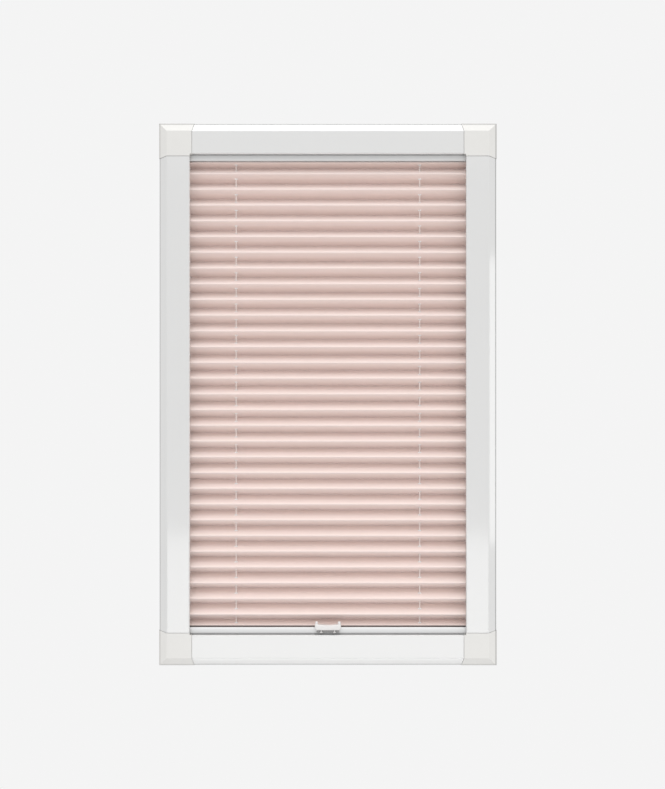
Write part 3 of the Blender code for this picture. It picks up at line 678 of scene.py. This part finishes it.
# Pleated fabric: one length of dusty pink polyester with a soft shimmer, folded to and fro, with
# round holes punched for the cords. It hangs from the top rail and is pushed up by the other.
CREST_Y = -0.0211
VALLEY_Y = -0.0017
SLOT_Y = -0.0155
CORD_X = 0.0988
CORD_Y = -0.0114
TOP_SLOT_Z = 0.2495
BOTTOM_SLOT_Z = -0.2487
NECK = 0.0006
LIP = 0.0023
LIP_DROP = 0.0011
FOLD_PITCH = 0.016814
FOLDS = 29
FABRIC_HALF_WIDTH = 0.1494
FABRIC_THICKNESS = 0.0004
CREASE_RADIUS = 0.00045
END_CREASE_RADIUS = 0.00022
CREASE_STEPS = 6
HOLE_RADIUS = 0.0017
HOLE_SIDES = 24
ACROSS = Vector((1, 0, 0))

end_run = (TOP_SLOT_Z - BOTTOM_SLOT_Z - FOLDS * FOLD_PITCH) / 2
fold_line = [
    (SLOT_Y, TOP_SLOT_Z),
    (SLOT_Y, TOP_SLOT_Z - NECK),
    (SLOT_Y - LIP, TOP_SLOT_Z - LIP_DROP),
]
for fold in range(2 * FOLDS + 1):
    height = TOP_SLOT_Z - end_run - fold * FOLD_PITCH / 2
    fold_line.append((CREST_Y if fold % 2 else VALLEY_Y, height))
fold_line += [
    (SLOT_Y - LIP, BOTTOM_SLOT_Z + LIP_DROP),
    (SLOT_Y, BOTTOM_SLOT_Z + NECK),
    (SLOT_Y, BOTTOM_SLOT_Z),
]


def rounded_line(corners, radius, steps, end_radius=None):
    """The line with each corner turned on an arc; each point also says if a panel starts there."""
    points = [(Vector(corners[0]), True)]
    near_end = (1, 2, len(corners) - 3, len(corners) - 2)
    for number in range(1, len(corners) - 1):
        before, corner, after = corners[number - 1 : number + 2]
        bend = end_radius if end_radius and number in near_end else radius
        here = Vector(corner)
        back = (Vector(before) - here).normalized()
        on = (Vector(after) - here).normalized()
        half = back.angle(on) / 2
        centre = here + (back + on).normalized() * bend / math.sin(half)
        arm = here + back * bend / math.tan(half) - centre
        turn = math.pi - 2 * half
        if back.x * on.y - back.y * on.x > 0:
            turn = -turn
        for step in range(steps + 1):
            swing = Matrix.Rotation(turn * step / steps, 2)
            points.append((centre + swing @ arm, step == steps))
    points.append((Vector(corners[-1]), False))
    return points


def ring_of_edges(shape, centre, across, along, radius, sides):
    """A closed ring of edges in the plane of across and along."""
    ring = []
    for side in range(sides):
        angle = 2 * math.pi * side / sides
        arm = across * math.cos(angle) + along * math.sin(angle)
        ring.append(shape.verts.new(centre + radius * arm))
    return [shape.edges.new(pair) for pair in zip(ring, ring[1:] + ring[:1])]


def map_cloth(shape, run):
    """Lays the cloth's map on the mesh: how far across the sheet and how far along it."""
    cloth_map = shape.loops.layers.uv.new("cloth")
    for face in shape.faces:
        for loop in face.loops:
            loop[cloth_map].uv = (loop.vert.co.x, loop.vert[run])


shape = bmesh.new()
run = shape.verts.layers.float.new("cloth_run")
line = rounded_line(fold_line, CREASE_RADIUS, CREASE_STEPS, END_CREASE_RADIUS)
rungs, travelled, last = [], 0.0, line[0][0]
for point, _ in line:
    travelled += (point - last).length
    last = point
    ends = [shape.verts.new((x, *point)) for x in (-FABRIC_HALF_WIDTH, FABRIC_HALF_WIDTH)]
    for vert in ends:
        vert[run] = travelled
    rungs.append(shape.edges.new(ends))
FABRIC_RUN = travelled
for number, (upper, lower) in enumerate(zip(rungs, rungs[1:])):
    sides = [shape.edges.new(pair) for pair in zip(upper.verts, lower.verts)]
    start, end = upper.verts[0].co, lower.verts[0].co
    along = (end - start).normalized()
    edges = [upper, lower, *sides]
    starts_panel = line[number][1]
    if starts_panel and min(start.y, end.y) < CORD_Y < max(start.y, end.y):
        share = (CORD_Y - start.y) / (end.y - start.y)
        level = start.z + share * (end.z - start.z)
        run_at_hole = upper.verts[0][run] + share * (end - start).length
        for x in (-CORD_X, CORD_X):
            centre = Vector((x, CORD_Y, level))
            hole = ring_of_edges(shape, centre, ACROSS, along, HOLE_RADIUS, HOLE_SIDES)
            for edge in hole:
                for vert in edge.verts:
                    vert[run] = run_at_hole + (vert.co - centre).dot(along)
            edges += hole
    bmesh.ops.triangle_fill(shape, use_beauty=True, edges=edges, normal=along.cross(ACROSS))
bmesh.ops.recalc_face_normals(shape, faces=shape.faces)
map_cloth(shape, run)


def drawn_out_noise(tree, place, stretch, detail, turn=0.0):
    """Noise that runs along a thread or fibre, turned from it by an angle."""
    inputs = {"Vector": place, "Scale": stretch, "Rotation": (0, 0, turn)}
    return noise(tree, add_node(tree, "ShaderNodeMapping", inputs).outputs[0], 1.0, detail)


def mixed_colour(tree, share, first, second):
    """A colour between two others."""
    inputs = {0: share, 6: (*first, 1), 7: (*second, 1)}
    return add_node(tree, "ShaderNodeMix", inputs, data_type="RGBA").outputs[2]


STREAK_STRETCH = (9, 900, 1)
STREAK_RANGE = (0.25, 0.75)
STREAK_TONES = (0.975, 1.025)
DRIFT_STRETCH = (14, 260, 1)
WARM_PINK = (0.885, 0.762, 0.702)
COOL_PINK = (0.885, 0.746, 0.720)
# Painted shade on the cloth's last stretch before the sliding rail's slot and on the bottom hem,
# for the dark gap where the cloth goes into the rail.
TUCK = 0.0025
TUCK_BLEND = 0.0004
TUCK_PAINTED_SHADE = 0.62
THREAD = 0.00036
WEAVE_HEIGHT = 0.00003
FIBRE_ROUGHNESS = (0.55, 0.75)
pleated_cloth, tree, shader = new_material("pleated_cloth")
cloth_place = add_node(tree, "ShaderNodeUVMap", uv_map="cloth").outputs[0]
streak = drawn_out_noise(tree, cloth_place, STREAK_STRETCH, 3.0)
drift = drawn_out_noise(tree, cloth_place, DRIFT_STRETCH, 2.0)
hue = mixed_colour(tree, drift, WARM_PINK, COOL_PINK)
streaked = scaled(tree, hue, ramp(tree, streak, *STREAK_RANGE, *STREAK_TONES))
tree.links.new(streaked, shader.inputs["Base Color"])
along_cloth = add_node(tree, "ShaderNodeSeparateXYZ", {0: cloth_place}).outputs["Y"]
# Painted shade from near the end of the folds onward.
tuck_start = FABRIC_RUN - TUCK
tuck_shade = ramp(tree, along_cloth, tuck_start, tuck_start + TUCK_BLEND, high=TUCK_PAINTED_SHADE)
paint_shading(pleated_cloth, tuck_shade)
weave = {"Vector": cloth_place, "Scale": (math.pi / THREAD, math.pi / THREAD, 1)}
weave_place = add_node(tree, "ShaderNodeMapping", weave).outputs[0]
threads = add_node(tree, "ShaderNodeSeparateXYZ", {0: weave_place}).outputs
warp, weft = (maths(tree, "SINE", threads[axis]) for axis in ("X", "Y"))
lumps = maths(tree, "ADD", maths(tree, "MULTIPLY", warp, weft), streak)
woven = {"Height": lumps, "Distance": WEAVE_HEIGHT, "Strength": 0.5}
relief = add_node(tree, "ShaderNodeBump", woven)
cloth_sheen = {
    "Normal": relief.outputs[0],
    "Roughness": ramp(tree, streak, 0.0, 1.0, *FIBRE_ROUGHNESS),
    "Sheen Weight": 0.45,
    "Sheen Roughness": 0.4,
    "Sheen Tint": (0.94, 0.98, 1.0, 1),
}
set_inputs(tree, shader, cloth_sheen)

fabric = finished(
    shape, "fabric_folds", pleated_cloth, "frame", ["pleated_fabric"]
)
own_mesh(fabric)
thickness = fabric.modifiers.new("thickness", "SOLIDIFY")
thickness.thickness = FABRIC_THICKNESS
thickness.offset = 0
thickness.use_even_offset = True
thickness.use_quality_normals = True
evened = fabric.modifiers.new("flat_panels", "WEIGHTED_NORMAL")
evened.keep_sharp = True


# Fabric hems: each end of the sheet runs through its rail's slot and turns forward inside the rail,
# where a strip locks it. They are drawn apart from the folds because they don't flatten.
HEM_TURN = 0.0035
HEM_HALF_WIDTH = 0.1474
HEM_CREASE_RADIUS = 0.0004
TOP_TAB_Z = 0.2510
BOTTOM_TAB_Z = -0.2502
for name, body, mouth, tab, travelled in (
    ("fabric_hem_top", "frame", TOP_SLOT_Z, TOP_TAB_Z, 0.0),
    ("fabric_hem_bottom", "sliding_rail", BOTTOM_SLOT_Z, BOTTOM_TAB_Z, FABRIC_RUN),
):
    corners = [(SLOT_Y, mouth), (SLOT_Y, tab), (SLOT_Y - HEM_TURN, tab)]
    line = rounded_line(corners, HEM_CREASE_RADIUS, CREASE_STEPS)
    shape = bmesh.new()
    run = shape.verts.layers.float.new("cloth_run")
    last, before = line[0][0], None
    for point, _ in line:
        travelled += (point - last).length
        last = point
        vert = shape.verts.new((-HEM_HALF_WIDTH, *point))
        vert[run] = travelled
        if before:
            shape.edges.new((before, vert))
        before = vert
    drawn = bmesh.ops.extrude_edge_only(shape, edges=shape.edges[:])
    far_side = [item for item in drawn["geom"] if isinstance(item, bmesh.types.BMVert)]
    bmesh.ops.translate(shape, verts=far_side, vec=(2 * HEM_HALF_WIDTH, 0, 0))
    map_cloth(shape, run)
    hem = finished(shape, name, pleated_cloth, body, ["pleated_fabric"])
    thickness = hem.modifiers.new("thickness", "SOLIDIFY")
    thickness.thickness = FABRIC_THICKNESS
    thickness.offset = 0


# Strips: clear nylon battens, one in each rail. They are pressed in over the fabric's turned ends
# and lock them there.
STRIP_ROUNDING = 0.00015
for level, body in (("top", "frame"), ("bottom", "sliding_rail")):
    softened(
        f"fabric_strip_{level}",
        f"locking_strip_{level}",
        milky_nylon,
        body,
        STRIP_ROUNDING,
        2,
    )


# Cords: 1.2 mm braided polyester. The two guide cords come out of the top rail, pass the folds
# and the sliding rail and end under the bottom bar; two more stretches cross inside the rail.
CORD_RADIUS = 0.0006
CORD_SIDES = 16
CORD_RING_STEP = 0.0004
BRAID_DEPTH = 0.09
STRANDS = 4
RINGS_PER_STRAND = 2
FIBRE_STRETCH = (60, 9000, 1)
FIBRE_TURN = 0.5
FIBRE_HEIGHT = 0.00002
FIBRE_DARK = (0.86, 0.78, 0.75)
FIBRE_LIGHT = (0.97, 0.93, 0.91)
cord_braid, tree, shader = new_material("cord_braid")
along_cord = add_node(tree, "ShaderNodeUVMap", uv_map="braid").outputs[0]
fibre = drawn_out_noise(tree, along_cord, FIBRE_STRETCH, 3.0, FIBRE_TURN)
fibres = {"Height": fibre, "Distance": FIBRE_HEIGHT, "Strength": 0.7}
relief = add_node(tree, "ShaderNodeBump", fibres)
cord_finish = {
    "Base Color": mixed_colour(tree, fibre, FIBRE_DARK, FIBRE_LIGHT),
    "Normal": relief.outputs[0],
    "Roughness": ramp(tree, fibre, 0.0, 1.0, *FIBRE_ROUGHNESS),
    "Sheen Weight": 0.2,
}
set_inputs(tree, shader, cord_finish)


def braided_cord(name, route, body, node):
    """A cord wrapped from a grid: one way of the grid goes round it, the other along the route."""
    stretches = [(Vector(near), Vector(far)) for near, far in zip(route, route[1:])]
    length = sum((far - near).length for near, far in stretches)
    rings = int(length / CORD_RING_STEP)
    shape = bmesh.new()
    bmesh.ops.create_grid(
        shape, x_segments=CORD_SIDES, y_segments=rings, size=0.5, calc_uvs=False
    )
    braid_map = shape.loops.layers.uv.new("braid")
    for face in shape.faces:
        for loop in face.loops:
            loop[braid_map].uv = (loop.vert.co.x + 0.5, (loop.vert.co.y + 0.5) * length)
    for vert in shape.verts:
        angle = 2 * math.pi * (vert.co.x + 0.5)
        travelled = (vert.co.y + 0.5) * length
        ring = round((vert.co.y + 0.5) * rings)
        for near, far in stretches:
            if travelled <= (far - near).length + 1e-9:
                break
            travelled -= (far - near).length
        ahead = (far - near).normalized()
        sideways = Vector((0, 1, 0))
        outward = sideways * math.cos(angle) + ahead.cross(sideways) * math.sin(angle)
        crossing = math.cos(STRANDS * angle) * math.cos(math.pi * ring / RINGS_PER_STRAND)
        swell = 1 + BRAID_DEPTH * (crossing - 1)
        vert.co = near + ahead * travelled + outward * CORD_RADIUS * swell
    bmesh.ops.remove_doubles(shape, verts=shape.verts, dist=FINE_WELD_DISTANCE)
    ends = [edge for edge in shape.edges if edge.is_boundary]
    bmesh.ops.holes_fill(shape, edges=ends, sides=CORD_SIDES)
    bmesh.ops.recalc_face_normals(shape, faces=shape.faces)
    return finished(shape, name, cord_braid, body, [node])


CORD_START_X = 0.0872
CORD_TURN_Z = 0.2526
CORD_END_Z = -0.2684
CORD_BEND = 0.0016
BEND_STEPS = 8
for side, x_sign in (("left", -1), ("right", 1)):
    route = [(x_sign * CORD_START_X, CORD_Y, CORD_TURN_Z)]
    for step in range(BEND_STEPS + 1):
        turn = math.pi / 2 * (1 - step / BEND_STEPS)
        x = CORD_X - CORD_BEND + CORD_BEND * math.cos(turn)
        z = CORD_TURN_Z - CORD_BEND + CORD_BEND * math.sin(turn)
        route.append((x_sign * x, CORD_Y, z))
    route.append((x_sign * CORD_X, CORD_Y, CORD_END_Z))
    braided_cord(f"guide_cord_{side}_braid", route, "frame", f"guide_cord_{side}")
for name in ("crossing_cord_front", "crossing_cord_back"):
    low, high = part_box(name)
    depth = (low[1] + high[1]) / 2
    level = (low[2] + high[2]) / 2
    route = [(low[0], depth, level), (high[0], depth, level)]
    braided_cord(f"{name}_braid", route, "sliding_rail", name)


# Cord exits and stops: turned white eyelets in the top rail's floor, with a round rim below it,
# and a bead crimped on the end of each cord under its anchor in the bottom bar.
white_moulding = finish(
    "white_moulding",
    colour=(0.83, 0.82, 0.80),
    roughness=0.36,
    roughness_spread=0.08,
    grain_scale=1800,
    grain_height=0.000010,
    mottle_scale=60,
    mottle_amount=0.05,
    Coat_Weight=0.2,
    Coat_Roughness=0.2,
)


def turned(profile, centre, steps, closed=True):
    """A solid of revolution about the vertical, from a profile of (radius, height) points."""
    shape = bmesh.new()
    verts = [shape.verts.new((radius, 0, height)) for radius, height in profile]
    edges = [shape.edges.new(pair) for pair in zip(verts, verts[1:] + verts[:1] * closed)]
    bmesh.ops.spin(
        shape,
        geom=verts + edges,
        cent=(0, 0, 0),
        axis=(0, 0, 1),
        angle=2 * math.pi,
        steps=steps,
        use_merge=True,
    )
    bmesh.ops.remove_doubles(shape, verts=shape.verts, dist=FINE_WELD_DISTANCE)
    bmesh.ops.recalc_face_normals(shape, faces=shape.faces)
    bmesh.ops.translate(shape, verts=shape.verts, vec=centre)
    return shape


TURNED_SIDES = 32
TURNED_SHARP_ANGLE = math.radians(50)
GUIDE_ROUNDING = 0.0001
ANCHOR_ROUNDING = 0.0004
EXIT_PROFILE = [
    (0.00100, 0.2510),
    (0.00150, 0.2510),
    (0.00155, 0.2509),
    (0.00155, 0.2492),
    (0.00215, 0.2492),
    (0.00225, 0.24910),
    (0.00225, 0.24892),
    (0.00212, 0.24876),
    (0.00190, 0.24870),
    (0.00135, 0.24870),
    (0.00110, 0.24878),
    (0.00096, 0.24895),
]
STOP_PROFILE = [
    (0.00096, -0.2657),
    (0.00130, -0.2657),
    (0.00165, -0.2661),
    (0.00180, -0.2667),
    (0.00180, -0.2677),
    (0.00165, -0.2683),
    (0.00130, -0.2687),
    (0.00096, -0.2687),
]
for side, x_sign in (("left", -1), ("right", 1)):
    for name, node, profile in (
        ("eyelet", f"cord_exit_{side}", EXIT_PROFILE),
        ("cord_bead", f"cord_stop_{side}", STOP_PROFILE),
    ):
        shape = turned(profile, (x_sign * CORD_X, CORD_Y, 0), TURNED_SIDES)
        ring = finished(
            shape, f"{name}_{side}", white_moulding, "frame", [node]
        )
        ring.data.set_sharp_from_angle(angle=TURNED_SHARP_ANGLE)
    for node, name, body, width, segments in (
        ("cord_guide", "cord_bush", "sliding_rail", GUIDE_ROUNDING, 2),
        ("cord_anchor", "cord_block", "frame", ANCHOR_ROUNDING, 3),
    ):
        softened(
            f"{node}_{side}",
            f"{name}_{side}",
            white_moulding,
            body,
            width,
            segments,
        )


# Springs: an open coil of spring wire in the top rail keeps each guide cord taut, between a
# crimped tube on the cord's end and a steel peg.
spring_steel = finish(
    "spring_steel",
    colour=(0.62, 0.61, 0.59),
    roughness=0.28,
    roughness_spread=0.15,
    grain_scale=2500,
    grain_height=0.000006,
    mottle_scale=300,
    mottle_amount=0.15,
    Metallic=1.0,
)
for side in ("left", "right"):
    for node in ("tension_spring", "spring_peg", "cord_crimp"):
        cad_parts[f"{node}_{side}"].material_slots[0].material = spring_steel


# Rail screws: two small pan-head screws of bright steel inside the top rail. They are driven up
# into the top bar and hold the rail to it.
for side in ("left", "right"):
    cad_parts[f"rail_screw_{side}"].material_slots[0].material = spring_steel


# Handle: a white moulded grip on the middle of the sliding rail, with two upright posts, a hollow
# between them for the fingertip, a hook over the rail and two small prongs that spread under it.
GRIP_FRONT_Y = -0.0272
GRIP_BACK_Y = -0.0217
GRIP_BASE_Z = -0.2509
GRIP_SHOULDER_Z = -0.2448
GRIP_HALF_WIDTH = 0.0139
GRIP_CORNER_RADIUS = 0.0026
GRIP_CORNER_STEPS = 8
GRIP_FRONT_ROUNDING = 0.0011
GRIP_BACK_ROUNDING = 0.0002
GRIP_FACE_MARGIN = 0.0001
HOLLOW_Z = -0.2456
HOLLOW_HALF_WIDTH = 0.0108
HOLLOW_HALF_STEPS = 6
POST_X = 0.0121
POST_Y = -0.0253
POST_RADIUS = 0.0015
POST_FOOT_RADIUS = POST_RADIUS * 0.9
POST_FOOT_Z = GRIP_BASE_Z + 0.0015
POST_TOP_Z = -0.2414
POST_DOME_STEPS = 8
POST_SIDES = 28
HOOK_HALF_WIDTH = 0.0120
HOOK_ROUNDING = 0.00025
HOOK_OUTLINE = [
    # (y, z)
    (-0.0223, -0.2543),
    (-0.0223, GRIP_BASE_Z + 0.001),
    (-0.0229, GRIP_BASE_Z + 0.0015),
    (-0.0229, -0.2479),
    (-0.0195, -0.2479),
    (-0.0195, -0.2484),
    (-0.0217, -0.2484),
    (-0.0217, -0.2543),
]
PRONG_X = 0.0070
PRONG_FRONT_Y = -0.0236
PRONG_BACK_Y = -0.0217
PRONG_ROOT_Z = GRIP_BASE_Z + 0.001
PRONG_NECK_Z = -0.2522
PRONG_BASE_Z = -0.2546
PRONG_EDGE = 0.0004
PRONG_NECK = 0.0005
PRONG_SPREAD = 0.0016
PRONG_ROUNDING = 0.0002
TOE_HALF_WIDTH = 0.0015
TOE_ROUNDING = 0.00015
TOE_OUTLINE = [
    # (y, z)
    (-0.0220, -0.2544),
    (-0.0220, -0.2553),
    (-0.0203, -0.2553),
    (-0.0203, -0.2551),
    (-0.0211, -0.2544),
]
ROUNDED_ANGLE = math.radians(35)
GRIP_SHARP_ANGLE = math.radians(40)
# Painted shade on the parts of the handle below its body and behind the prongs' fronts, where the
# body overhangs the rail.
RECESS_Z = -0.2512
RECESS_BLEND = 0.0003
RECESS_Y = -0.0226
RECESS_PAINTED_SHADE = 0.48

grip_moulding = finish(
    "grip_moulding",
    colour=(0.76, 0.745, 0.735),
    roughness=0.38,
    roughness_spread=0.10,
    grain_scale=1800,
    grain_height=0.000012,
    mottle_scale=260,
    mottle_amount=0.08,
    Coat_Weight=0.2,
    Coat_Roughness=0.2,
)
# Painted shade under the grip's body.
tree = grip_moulding.node_tree
place = object_place(tree)
below = ramp(tree, place["Z"], RECESS_Z - RECESS_BLEND, RECESS_Z, low=RECESS_PAINTED_SHADE, high=0.0)
behind = maths(tree, "GREATER_THAN", place["Y"], RECESS_Y)
paint_shading(grip_moulding, maths(tree, "MULTIPLY", below, behind))


def drawn_prism(outline, axis, low, high):
    """A prism of an outline; along y the outline is (x, z), and along x it is (y, z)."""
    shape = bmesh.new()
    if axis == "y":
        verts = [shape.verts.new((x, low, z)) for x, z in outline]
        push = (0, high - low, 0)
    else:
        verts = [shape.verts.new((low, y, z)) for y, z in outline]
        push = (high - low, 0, 0)
    face = shape.faces.new(verts)
    drawn = bmesh.ops.extrude_face_region(shape, geom=[face])
    moved = [item for item in drawn["geom"] if isinstance(item, bmesh.types.BMVert)]
    bmesh.ops.translate(shape, verts=moved, vec=push)
    bmesh.ops.recalc_face_normals(shape, faces=shape.faces)
    return shape


def rounded(shape, radius, segments, wanted=lambda edge: True):
    """Rounds the sharp edges that are wanted."""
    sharp = [edge for edge in shape.edges if edge.calc_face_angle(0) > ROUNDED_ANGLE]
    bmesh.ops.bevel(
        shape,
        geom=[edge for edge in sharp if wanted(edge)],
        offset=radius,
        segments=segments,
        profile=0.5,
        affect="EDGES",
        clamp_overlap=True,
        material=-1,
    )
    return shape


def joined(shapes):
    """One mesh that holds all the given ones."""
    whole = bmesh.new()
    for shape in shapes:
        mesh = bpy.data.meshes.new("part_of_piece")
        shape.to_mesh(mesh)
        shape.free()
        whole.from_mesh(mesh)
        bpy.data.meshes.remove(mesh)
    return whole


def arc(x, y, radius, first, last, steps):
    """Points on an arc between two angles in degrees."""
    points = []
    for step in range(steps + 1):
        angle = math.radians(first + (last - first) * step / steps)
        points.append((x + radius * math.cos(angle), y + radius * math.sin(angle)))
    return points


def by_front(edge):
    """Whether the whole edge lies on the grip's front."""
    return max(vert.co.y for vert in edge.verts) < GRIP_FRONT_Y + GRIP_FACE_MARGIN


def by_back(edge):
    """Whether the whole edge lies on the grip's back."""
    return min(vert.co.y for vert in edge.verts) > GRIP_BACK_Y - GRIP_FACE_MARGIN


corner_x = GRIP_HALF_WIDTH - GRIP_CORNER_RADIUS
corner_z = GRIP_BASE_Z + GRIP_CORNER_RADIUS
grip_outline = arc(corner_x, corner_z, GRIP_CORNER_RADIUS, -90, 0, GRIP_CORNER_STEPS)
grip_outline.append((GRIP_HALF_WIDTH, GRIP_SHOULDER_Z))
for step in range(2 * HOLLOW_HALF_STEPS + 1):
    share = 1 - step / HOLLOW_HALF_STEPS
    drop = (GRIP_SHOULDER_Z - HOLLOW_Z) * (1 - share * share)
    grip_outline.append((HOLLOW_HALF_WIDTH * share, GRIP_SHOULDER_Z - drop))
grip_outline.append((-GRIP_HALF_WIDTH, GRIP_SHOULDER_Z))
grip_outline += arc(-corner_x, corner_z, GRIP_CORNER_RADIUS, 180, 270, GRIP_CORNER_STEPS)
body = drawn_prism(grip_outline, "y", GRIP_FRONT_Y, GRIP_BACK_Y)
rounded(body, GRIP_FRONT_ROUNDING, 4, by_front)
rounded(body, GRIP_BACK_ROUNDING, 2, by_back)
posts = []
for x_sign in (-1, 1):
    profile = [(0, POST_FOOT_Z), (POST_FOOT_RADIUS, POST_FOOT_Z)]
    profile += arc(0, POST_TOP_Z - POST_RADIUS, POST_RADIUS, 0, 90, POST_DOME_STEPS)
    profile[-1] = (0, POST_TOP_Z)
    posts.append(turned(profile, (x_sign * POST_X, POST_Y, 0), POST_SIDES, closed=False))
hook = drawn_prism(HOOK_OUTLINE, "x", -HOOK_HALF_WIDTH, HOOK_HALF_WIDTH)
rounded(hook, HOOK_ROUNDING, 2)
prongs = []
for middle in (-PRONG_X, PRONG_X):
    outline = [
        (middle - PRONG_SPREAD, PRONG_BASE_Z),
        (middle + PRONG_SPREAD, PRONG_BASE_Z),
        (middle + PRONG_SPREAD, PRONG_BASE_Z + PRONG_EDGE),
        (middle + PRONG_NECK, PRONG_NECK_Z),
        (middle + PRONG_NECK, PRONG_ROOT_Z),
        (middle - PRONG_NECK, PRONG_ROOT_Z),
        (middle - PRONG_NECK, PRONG_NECK_Z),
        (middle - PRONG_SPREAD, PRONG_BASE_Z + PRONG_EDGE),
    ]
    prong = drawn_prism(outline, "y", PRONG_FRONT_Y, PRONG_BACK_Y)
    prongs.append(rounded(prong, PRONG_ROUNDING, 2))
    toe = drawn_prism(TOE_OUTLINE, "x", middle - TOE_HALF_WIDTH, middle + TOE_HALF_WIDTH)
    prongs.append(rounded(toe, TOE_ROUNDING, 2))
grip = joined([body, *posts, hook, *prongs])
grip = finished(grip, "finger_grip", grip_moulding, "handle", ["handle"])
grip.data.set_sharp_from_angle(angle=GRIP_SHARP_ANGLE)
